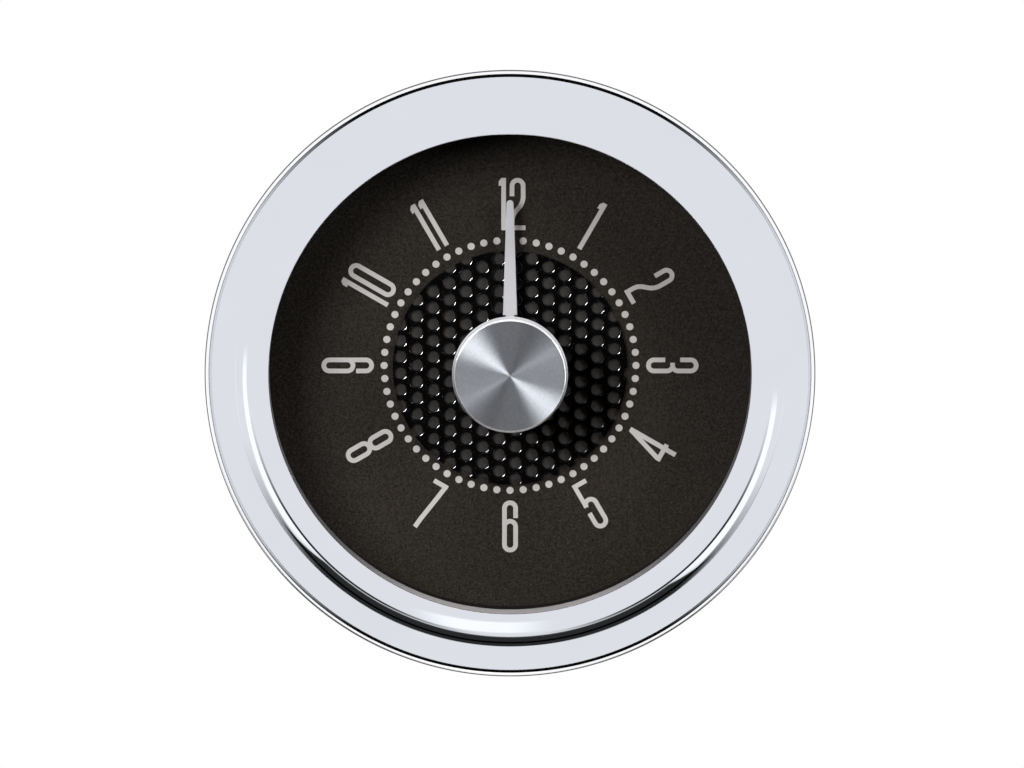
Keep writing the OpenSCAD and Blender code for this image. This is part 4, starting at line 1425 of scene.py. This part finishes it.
@dataclass(frozen=True)
class SetKnob:
    """Set knob with a turned face, a bright bevel and a hollow underside, and its drive."""

    face: float = 5.2
    face_r: float = 9.2
    face_round: float = 0.04
    edge_r: float = 9.6
    bevel_end: Point = (9.54, 4.83)
    bevel_round: float = 0.12
    bevel_back: float = 4.1
    edge_back: float = 2.0
    # Roundings of the straight edge, at its front and at its back
    edge_rounds: Point = (0.2, 0.08)
    back: float = -0.4
    neck_r: float = 6.2
    pocket_r: float = 3.425
    pocket_end: float = 2.4
    stem_r: float = 1.5
    stem_end: float = 3.8
    # How close a face lies to the front, to the bevel or to the edge to be part of it
    near: float = 0.02
    near_bevel: float = 0.03
    near_edge: float = 0.1

    def profile(self) -> list[Point]:
        """Draws the knob's section.

        Returns:
            Radius and height of its points.
        """
        hollow = self.edge_back - self.back
        under = arc(self.neck_r + hollow, self.back, hollow, 91, 180, 16)
        return rounded(
            [
                (0.0, self.face, 0), (self.face_r, self.face, self.face_round),
                (*self.bevel_end, self.bevel_round),
                (self.edge_r, self.bevel_back, self.edge_rounds[0]),
                (self.edge_r, self.edge_back, self.edge_rounds[1]),
                *((r, z, 0) for r, z in under),
                (self.pocket_r, self.back, 0), (self.pocket_r, self.pocket_end, 0),
                (self.stem_r, self.pocket_end, 0), (self.stem_r, self.stem_end, 0),
                (0.0, self.stem_end, 0),
            ]
        )

    def finish_at(self, polygon: bpy.types.MeshPolygon) -> Finish:
        """Tells the finish of a face of the knob.

        Args:
            polygon: The face.

        Returns:
            Its finish.
        """
        radius, height = drawn(polygon.center)
        # The face's spun finish is darkened well below aluminium: a painted shade
        if height > self.face - self.near and radius < self.face_r - self.near:
            return SPUN
        if height > self.bevel_end[1] - self.near_bevel:
            return BRIGHT_CUT
        if height > self.edge_back + self.near and radius > self.edge_r - self.near_edge:
            return BLASTED
        return SATIN

    def build(self) -> None:
        """Builds the knob and finishes its drive."""
        item = add_object("turned_knob", mesh_of("turned_knob", [revolve(self.profile(), 320)]))
        piece = Piece("turned_knob", "knob", "spun_aluminium", ("set_knob",))
        piece.dress_mixed(item, self.finish_at)
        finish_nodes(["knob_stem", "thrust_washer", "stem_clip"], STEEL)
        finish_nodes(["knob_bush", "bush_nut"], BRASS)
        finish_nodes(["friction_pad"], RUBBER)


@dataclass(frozen=True)
class ReturnSpring:
    """Spring of the set knob, wound round the bush, with its end turns closed."""

    radius: float = 2.9
    wire_r: float = 0.225
    wire_sides: int = 14
    turn_steps: int = 48
    low: float = -1.725
    high: float = 2.125
    turns: float = 4.0
    # Turns that are closed at each end, and how far they rise, in radii of the wire
    closed: float = 0.75
    closed_rise: float = 2.1
    seat: float = -2.0
    travel: float = 0.8

    def height(self, turn: float) -> float:
        """Tells how high the middle of the wire stands.

        Args:
            turn: Number of turns from the rear end.

        Returns:
            The height.
        """
        flat = self.closed_rise * self.wire_r
        rise = (self.high - self.low - 2 * self.closed * flat) / (self.turns - 2 * self.closed)
        ends = min(turn, self.closed) + max(turn - self.turns + self.closed, 0.0)
        return self.low + ends * flat + (turn - ends) * rise

    def wire(self) -> Shell:
        """Winds the wire.

        Returns:
            The points and faces of the closed wire.
        """
        steps, sides = round(self.turns * self.turn_steps), self.wire_sides
        points: list[Vector] = []
        faces: list[list[int]] = []
        for i in range(steps + 1):
            turn = self.turns * i / steps
            for k in range(sides):
                b = 2 * math.pi * k / sides
                out = self.radius + self.wire_r * math.cos(b)
                x, y = (out * f(2 * math.pi * turn) for f in (math.cos, math.sin))
                points.append(place(x, y, self.height(turn) + self.wire_r * math.sin(b)))
        for i in range(steps):
            for k in range(sides):
                p, q = i * sides + k, i * sides + (k + 1) % sides
                faces.append([p, q, q + sides, p + sides])
        faces += [list(range(sides)), list(range(steps * sides, (steps + 1) * sides))]
        return points, faces

    def build(self) -> None:
        """Builds the spring with a mesh of its own; the real spring shortens towards its seat as
        the knob is pushed.
        """
        piece = Piece("return_spring", "clock", "bright_steel", ("knob_spring",), sharp=60.0)
        item = piece.put(mesh_of("return_spring", [self.wire()]), STEEL)
        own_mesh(item)


@dataclass(frozen=True)
class Rear:
    """Case, rear cover and what stands on it."""

    cover_back: float = -45.5
    screw_pcd: float = 76.0
    screw_r: float = 2.5
    screw_head: float = 1.6
    head_round: float = 0.9
    seat_round: float = 0.05
    shank_r: float = 1.25
    shank_end: float = -38.5
    shank_round: float = 0.2
    cross_w: float = 0.55
    cross_l: float = 2.6
    cross_depth: float = 0.9
    stud_r: float = 2.0
    thread_pitch: float = 0.7
    thread_depth: float = 0.38
    # Where a thread's crest and root start and end, in pitches
    crest: Point = (0.25, 0.35)
    root: Point = (0.8, 0.9)
    thread_stop: float = 0.5
    stud_x: float = 25.4
    stud_end: float = -61.9
    stud_tip: float = 0.35
    shoulder_end: float = -47.9
    shoulder_r: float = 2.5
    head_r: float = 4.0
    head: tuple[float, float] = (-44.0, -42.8)

    def screws(self) -> None:
        """Builds the four pan head screws of the cover with their cross recesses."""
        pattern = Pattern(
            "cover_screw_heads",
            {"Screws": 4, "Circle Radius": self.screw_pcd / 2 * MM,
             "Slot Width": self.cross_w * MM, "Slot Length": self.cross_l * MM,
             "Slot Height": 2 * self.cross_depth * MM,
             "Behind Panel": (self.screw_head - self.cover_back) * MM},
        )
        crown = rounded(
            [
                (0.0, self.shank_end, 0), (self.shank_r, self.shank_end, self.shank_round),
                (self.shank_r, self.cover_back, 0),
                (self.screw_r, self.cover_back, self.seat_round),
                (self.screw_r, self.cover_back - self.screw_head, self.head_round),
                (0.0, self.cover_back - self.screw_head, 0),
            ]
        )
        blank = bpy.data.objects.new("screw_blank", mesh_of("screw_blank", [revolve(crown, 40)]))
        source = pattern.add(
            "GeometryNodeObjectInfo", {"Object": blank}, transform_space="ORIGINAL"
        )
        slots = []
        for first, second in (("Slot Width", "Slot Length"), ("Slot Length", "Slot Width")):
            measure = pattern.add(
                "ShaderNodeCombineXYZ",
                {"X": pattern.size(first), "Y": pattern.size("Slot Height"),
                 "Z": pattern.size(second)},
            )
            slots.append(pattern.add("GeometryNodeMeshCube", {"Size": measure.outputs["Vector"]}))
        cross = pattern.add("GeometryNodeJoinGeometry")
        for part in slots:
            pattern.tree.links.new(part.outputs["Mesh"], cross.inputs[0])
        drop = pattern.add("ShaderNodeCombineXYZ", {"Y": pattern.size("Behind Panel")})
        sunk = pattern.add(
            "GeometryNodeTransform",
            {"Geometry": cross.outputs["Geometry"], "Translation": drop.outputs["Vector"]},
        )
        recessed = pattern.add(
            "GeometryNodeMeshBoolean",
            {"Mesh 1": source.outputs["Geometry"], "Mesh 2": sunk.outputs["Geometry"],
             "Self Intersection": True},
            operation="DIFFERENCE", solver="EXACT",
        )
        ring = pattern.add(
            "GeometryNodeMeshCircle",
            {"Vertices": pattern.size("Screws"), "Radius": pattern.size("Circle Radius")},
        )
        stood = pattern.add(
            "GeometryNodeTransform",
            {"Geometry": ring.outputs["Mesh"], "Rotation": (math.pi / 2, math.pi / 4, 0.0)},
        )
        spread = pattern.add(
            "GeometryNodeInstanceOnPoints",
            {"Points": stood.outputs["Geometry"], "Instance": recessed.outputs["Mesh"]},
        )
        item = pattern.build(spread.outputs["Instances"], ZINC, "cover_screw_set")
        bpy.data.objects.remove(blank)
        Piece("cover_screw_set", "clock", "zinc_steel", ("cover_screws",)).dress(item)

    def studs(self) -> None:
        """Builds the two threaded studs."""
        root_r = self.stud_r - self.thread_depth
        rings, height = [], self.shoulder_end
        while height - self.thread_pitch > self.stud_end + self.thread_stop:
            for radius, spots in ((self.stud_r, self.crest), (root_r, self.root)):
                rings += [(radius, height - spot * self.thread_pitch) for spot in spots]
            height -= self.thread_pitch
        profile = [
            (0.0, self.head[1]), (self.head_r, self.head[1]), (self.head_r, self.head[0]),
            (self.shoulder_r, self.head[0]), (self.shoulder_r, self.shoulder_end),
            (root_r, self.shoulder_end), *rings, (self.stud_r, height),
            (self.stud_r, self.stud_end + self.stud_tip),
            (self.stud_r - self.stud_tip, self.stud_end), (0.0, self.stud_end),
        ]
        points, faces = revolve(profile, 36)
        shells = [
            ([p + Vector((x * MM, 0, 0)) for p in points], faces)
            for x in (-self.stud_x, self.stud_x)
        ]
        mesh = mesh_of("threaded_studs", shells)
        Piece("threaded_studs", "clock", "zinc_steel", ("mounting_studs",)).put(mesh, ZINC)

    def build(self) -> None:
        """Builds and finishes the rear."""
        for node, slot, finish in (
            ("case", "case_moulding", CASE_PLASTIC), ("rear_cover", "case_moulding", CASE_PLASTIC),
            ("stud_nuts", "zinc_steel", ZINC), ("wiring_socket", "white_nylon", NYLON),
            ("bezel_screws", "zinc_steel", ZINC),
        ):
            Piece(f"{node}_finished", "clock", slot, (node,)).put(smooth_copy(node), finish)
        finish_nodes(["socket_contacts"], GOLD)
        self.screws()
        self.studs()


class Movement:
    """Everything behind the dial, which keeps its CAD shape."""

    finishes: dict[Finish, tuple[str, ...]] = {
        BRASS: ("cannon_pinion", "hour_wheel", "minute_wheel", "centre_wheel",
                "intermediate_wheel"),
        STEEL: ("minute_wheel_post", "centre_arbor", "rotor_pinion", "stator_posts",
                "movement_pillars", "quartz_crystal"),
        ROLLED_BRASS: ("carrier_plate", "rear_plate"),
        ZINC: ("carrier_screws", "board_screws"),
        NYLON: ("carrier_spacers", "board_standoffs", "coil_bobbin"),
        BOARD: ("light_board", "circuit_board"),
        MILKY: ("diffuser_ring",), LAMP: ("dial_lamps",), GOLD: ("light_pins",),
        FERRITE: ("rotor_magnet",), IRON: ("stator",), COPPER: ("coil_winding",),
        EPOXY: ("control_chip", "voltage_regulator"), SLEEVE: ("capacitors",),
    }

    def build(self) -> None:
        """Finishes the movement's pieces."""
        for finish, nodes in self.finishes.items():
            finish_nodes(nodes, finish)


# Studio


def limit(light: bpy.types.Object, pieces: Iterable[str], reach: Reach) -> None:
    """Limits which pieces a lamp or a bright card lights.

    Args:
        light: The lamp or the card.
        pieces: Names of the pieces.
        reach: Whether it lights only these, or all but these.
    """
    listed = bpy.data.collections.new(f"{light.name}_reach")
    light.light_linking.receiver_collection = listed
    for piece in pieces:
        listed.objects.link(bpy.data.objects[piece])
    for linked in listed.collection_objects:
        linked.light_linking.link_state = reach.value


@dataclass(frozen=True)
class Lamp:
    """Soft lamp in a plane along the dial's, for one piece or for all that have none.

    Its place and its width and height are in metres, and its power is in watts.
    """

    name: str
    spot: Spot
    size: Point
    power: float
    only: str = ""

    def build(self) -> None:
        """Hangs the lamp."""
        data = bpy.data.lights.new(self.name, "AREA")
        data.shape = "RECTANGLE"
        data.size, data.size_y = self.size
        data.energy = self.power
        lamp = add_object(self.name, data)
        lamp.location = self.spot
        lamp.rotation_euler = (math.copysign(math.pi / 2, -self.spot[1]), 0.0, 0.0)
        if self.only:
            limit(lamp, [self.only], Reach.ONLY)
        else:
            limit(lamp, ["bezel_ring", "turned_knob", "punched_disc"], Reach.ALL_BUT)


@dataclass(frozen=True)
class Card:
    """Card that only reflections show, and that fades towards its edges.

    Its level is 0 for black and 1 for the white behind it, and above 1 it adds light to
    that. It fades over shares of its length and width.
    """

    name: str
    level: float
    soft: Point

    def tint(self) -> bpy.types.Material:
        """Makes the card's material: it darkens what is behind it, or adds light to it.

        Returns:
            The material.
        """
        material = bpy.data.materials.new(self.name)
        material.use_nodes = True
        tree = material.node_tree
        tree.nodes.clear()
        along = add_node(tree, "ShaderNodeTexCoord").outputs["UV"]
        spot = add_node(tree, "ShaderNodeSeparateXYZ", {"Vector": along}).outputs
        fades = []
        for axis, share in zip("XY", self.soft):
            edge = add_node(
                tree, "ShaderNodeMath", {0: spot[axis], 1: 0.5}, operation="PINGPONG"
            ).outputs[0]
            fades.append(add_node(
                tree, "ShaderNodeMapRange", {"Value": edge, "From Max": share},
                interpolation_type="SMOOTHSTEP",
            ).outputs["Result"])
        full = add_node(
            tree, "ShaderNodeMath", dict(enumerate(fades)), operation="MULTIPLY"
        ).outputs[0]
        left = add_node(
            tree, "ShaderNodeMath", {0: full, 1: min(self.level, 1.0) - 1.0, 2: 1.0},
            operation="MULTIPLY_ADD",
        ).outputs[0]
        more = add_node(
            tree, "ShaderNodeMath", {0: full, 1: max(self.level, 1.0) - 1.0},
            operation="MULTIPLY",
        ).outputs[0]
        clear = add_node(tree, "ShaderNodeBsdfTransparent", {"Color": left}).outputs[0]
        glow = add_node(tree, "ShaderNodeEmission", {"Strength": more}).outputs[0]
        added = add_node(tree, "ShaderNodeAddShader", {0: clear, 1: glow}).outputs[0]
        add_node(tree, "ShaderNodeOutputMaterial", {"Surface": added})
        return material

    def show(
        self, points: Sequence[Spot], faces: Sequence[Sequence[int]], along: Sequence[Point]
    ) -> None:
        """Stands the card in the studio.

        Args:
            points: Its points, in metres.
            faces: Its faces.
            along: Place of each point along and across the card, from 0 to 1.
        """
        mesh = bpy.data.meshes.new(self.name)
        mesh.from_pydata(points, [], faces)
        layer = mesh.uv_layers.new(name="across")
        for loop in mesh.loops:
            layer.data[loop.index].uv = along[loop.vertex_index]
        mesh.materials.append(self.tint())
        card = add_object(self.name, mesh)
        card.visible_camera = card.visible_diffuse = card.visible_shadow = False
        card.visible_transmission = card.visible_volume_scatter = False
        if self.level > 1.0:
            limit(card, ["bezel_ring"], Reach.ONLY)


@dataclass(frozen=True)
class FlatCard(Card):
    """Upright card with straight edges: left, right, foot, head and depth are in metres."""

    left: float
    right: float
    foot: float
    head: float
    depth: float

    def build(self) -> None:
        """Builds the card."""
        sides = [(self.left, self.foot), (self.right, self.foot), (self.right, self.head),
                 (self.left, self.head)]
        self.show(
            [(x, self.depth, z) for x, z in sides], [(0, 1, 2, 3)],
            [(0, 0), (1, 0), (1, 1), (0, 1)],
        )


@dataclass(frozen=True)
class RingCard(Card):
    """Card like a piece of a flat ring, a little in front of the bezel.

    Its ends are at angles counted from 3 o'clock, in degrees, and each turns on by its slant
    from the inner to the outer edge. The centres of the two edges lie below the axis by the
    drop. Cards that overlap lie in different layers. Lengths are in metres.
    """

    ends: Point
    radii: Point
    slant: Point = (0.0, 0.0)
    drop: Point = (0.0102, 0.023)
    layer: int = 0
    nearest: float = 0.025
    apart: float = 0.0006
    steps: int = 36
    rows: int = 4

    def build(self) -> None:
        """Builds the card."""
        front = -self.nearest - self.apart * self.layer
        points, along, faces = [], [], []
        for i in range(self.steps + 1):
            for j in range(self.rows + 1):
                share = j / self.rows
                radius = self.radii[0] + (self.radii[1] - self.radii[0]) * share
                low = self.drop[0] + (self.drop[1] - self.drop[0]) * share
                ends = [end + slant * share for end, slant in zip(self.ends, self.slant)]
                turn = math.radians(ends[0] + (ends[1] - ends[0]) * i / self.steps)
                radius -= low * math.sin(turn)
                points.append((radius * math.cos(turn), front, radius * math.sin(turn)))
                along.append((i / self.steps, share))
                if i and j:
                    last = len(points) - 1
                    before = last - self.rows - 1
                    faces.append((last, last - 1, before - 1, before))
        self.show(points, faces, along)


@dataclass(frozen=True)
class Studio:
    """Camera, lamps, cards, white surroundings and floor. Lengths are in metres."""

    elevation: float = 6.8
    distance: float = 2.5
    view_w: float = 0.17045
    sensor_mm: float = 36.0
    aim: Spot = (0.00033, 0.0, -0.001935)
    floor_z: float = -0.16
    floor_reach: float = 8.0
    # The floor's own glow grows from the first distance and level to the second
    fade: tuple[Point, Point] = ((0.15, 0.35), (0.42, 1.0))
    ambient: float = 0.012
    # Gloss behind more than three clear faces is gloss under the lens
    clear_faces: float = 3.5
    lamps: tuple[Lamp, ...] = (
        Lamp("key_lamp", (-0.43, -0.6, 0.25), (0.38, 0.38), 5.0),
        Lamp("fill_lamp", (0.9, -0.6, 0.4), (0.56, 0.56), 10.0),
        Lamp("top_lamp", (0.0, -0.4, 1.1), (0.8, 0.7), 22.0),
        Lamp("rear_lamp", (0.35, 0.8, 0.6), (0.6, 0.6), 12.0),
        Lamp("knob_key_lamp", (-0.42, -0.6, 0.25), (0.32, 0.32), 16.5, "turned_knob"),
        Lamp("knob_fill_lamp", (0.95, -0.6, 0.42), (0.24, 0.24), 10.0, "turned_knob"),
        Lamp("knob_side_lamp", (1.0, -0.6, 0.2), (0.9, 1.1), 40.0, "turned_knob"),
        Lamp("knob_top_lamp", (0.0, -0.3, 0.9), (0.5, 0.4), 9.0, "turned_knob"),
        Lamp("disc_lamp", (-0.42, -0.6, 0.25), (0.25, 0.25), 9.0, "punched_disc"),
    )
    cards: tuple[RingCard | FlatCard, ...] = (
        RingCard("dark_card_left", 0.03, (0.35, 0.1), (190, 268), (0.0536, 0.0735),
                 drop=(0.008, 0.0102)),
        RingCard("dark_card_right", 0.03, (0.35, 0.1), (272, 350), (0.0536, 0.0735),
                 drop=(0.008, 0.0102)),
        RingCard("dark_card_below", 0.03, (0.02, 0.1), (228, 305), (0.0745, 0.1), (-14, 12),
                 layer=1),
        RingCard("dark_card_foot", 0.03, (0.25, 0.01), (196, 340), (0.087, 0.22),
                 drop=(0.0225, 0.04), layer=2),
        RingCard("bright_card_left", 1.36, (0.15, 0.12), (176, 231), (0.0735, 0.0855),
                 (0, -10), layer=3),
        RingCard("bright_card_right", 1.36, (0.15, 0.12), (301, 354), (0.0735, 0.088),
                 (10, 0), layer=3),
        FlatCard("bright_card_low", 1.34, (0.35, 0.2), -0.0175, 0.008, -0.0468, -0.0378, -0.01),
    )

    def camera(self) -> None:
        """Sets up the camera at the photograph's angle."""
        data = bpy.data.cameras.new("camera")
        data.sensor_width = self.sensor_mm
        data.lens = self.sensor_mm * self.distance / self.view_w
        camera = add_object("camera", data)
        angle = math.radians(self.elevation)
        back = Vector((0.0, -math.cos(angle), math.sin(angle)))
        camera.location = Vector(self.aim) + back * self.distance
        camera.rotation_euler = (-back).to_track_quat("-Z", "Y").to_euler()
        bpy.context.scene.camera = camera

    def seen(self, tree: bpy.types.NodeTree) -> bpy.types.NodeSocket:
        """Tells what the camera, gloss and glass see from what only lights a piece.

        Gloss that only lights a matt surface doesn't count, nor does gloss under the lens.

        Args:
            tree: The tree of a material or of the world.

        Returns:
            The socket of a 1 for what is seen, and of a 0 for other light.
        """
        path = add_node(tree, "ShaderNodeLightPath").outputs
        gloss = path["Is Glossy Ray"]
        for depth, most in (("Diffuse Depth", 0.5), ("Transparent Depth", self.clear_faces)):
            few = add_node(
                tree, "ShaderNodeMath", {0: path[depth], 1: most}, operation="LESS_THAN"
            ).outputs[0]
            gloss = add_node(
                tree, "ShaderNodeMath", {0: gloss, 1: few}, operation="MULTIPLY"
            ).outputs[0]
        direct = add_node(
            tree, "ShaderNodeMath", {0: path["Is Camera Ray"], 1: gloss}, operation="MAXIMUM"
        ).outputs[0]
        return add_node(
            tree, "ShaderNodeMath", {0: direct, 1: path["Is Transmission Ray"]},
            operation="MAXIMUM",
        ).outputs[0]

    def surroundings(self) -> None:
        """Makes the surroundings white, and gives shadows a little light."""
        world = bpy.data.worlds.new("surroundings")
        bpy.context.scene.world = world
        world.use_nodes = True
        tree = world.node_tree
        tree.nodes.clear()
        dim, full = (
            add_node(
                tree, "ShaderNodeBackground", {"Color": linear("#ffffff"), "Strength": level}
            ).outputs[0]
            for level in (self.ambient, 1.0)
        )
        mixed = add_node(tree, "ShaderNodeMixShader", {0: self.seen(tree), 1: dim, 2: full})
        add_node(tree, "ShaderNodeOutputWorld", {"Surface": mixed.outputs[0]})

    def floor(self) -> None:
        """Lays a pale floor, which fades to white away from the clock's shadow."""
        material = bpy.data.materials.new("pale_floor")
        material.use_nodes = True
        tree = material.node_tree
        tree.nodes.clear()
        paint = add_node(
            tree, "ShaderNodeBsdfDiffuse", {"Color": linear("#f4f4f4")}
        ).outputs["BSDF"]
        glow = add_node(tree, "ShaderNodeEmission", {"Strength": 1.0}).outputs["Emission"]
        where = add_node(tree, "ShaderNodeTexCoord").outputs["Object"]
        away = add_node(
            tree, "ShaderNodeVectorMath", {0: where}, operation="LENGTH"
        ).outputs["Value"]
        (near, least), (far, most) = self.fade
        level = add_node(
            tree, "ShaderNodeMapRange",
            {"Value": away, "From Min": near, "From Max": far, "To Min": least, "To Max": most},
        ).outputs["Result"]
        share = add_node(
            tree, "ShaderNodeMath", {0: level, 1: self.seen(tree)}, operation="MULTIPLY"
        ).outputs[0]
        mixed = add_node(tree, "ShaderNodeMixShader", {0: share, 1: paint, 2: glow})
        add_node(tree, "ShaderNodeOutputMaterial", {"Surface": mixed.outputs[0]})
        mesh = bpy.data.meshes.new("floor")
        reach = self.floor_reach
        corners = [(-reach, -reach), (reach, -reach), (reach, reach), (-reach, reach)]
        mesh.from_pydata([(x, y, self.floor_z) for x, y in corners], [], [(0, 1, 2, 3)])
        mesh.materials.append(material)
        floor = add_object("floor", mesh)
        floor.visible_diffuse = floor.visible_glossy = False

    def build(self) -> None:
        """Sets up the studio."""
        bpy.context.scene.view_settings.view_transform = "Standard"
        self.camera()
        self.surroundings()
        self.floor()
        for part in (*self.lamps, *self.cards):
            part.build()


def main() -> None:
    """Builds the clock and its studio."""
    logging.basicConfig(level=logging.INFO, format="%(name)s: %(message)s")
    Bezel().build()
    finish_nodes(["lens"], GLASS)
    finish_nodes(["lens_gasket"], RUBBER)
    finish_nodes(["spacer_ring"], DARK_RING)
    Dial().build()
    PerforatedDisc().build()
    Hand("hour_hand", "hour_train", 20.0, -8.75, bore_r=2.4).build()
    Hand("minute_hand", "minute_train", 28.0, -7.95, boss_r=2.5).build()
    SetKnob().build()
    ReturnSpring().build()
    Rear().build()
    Movement().build()
    Studio().build()


if __name__ == "__main__":
    main()
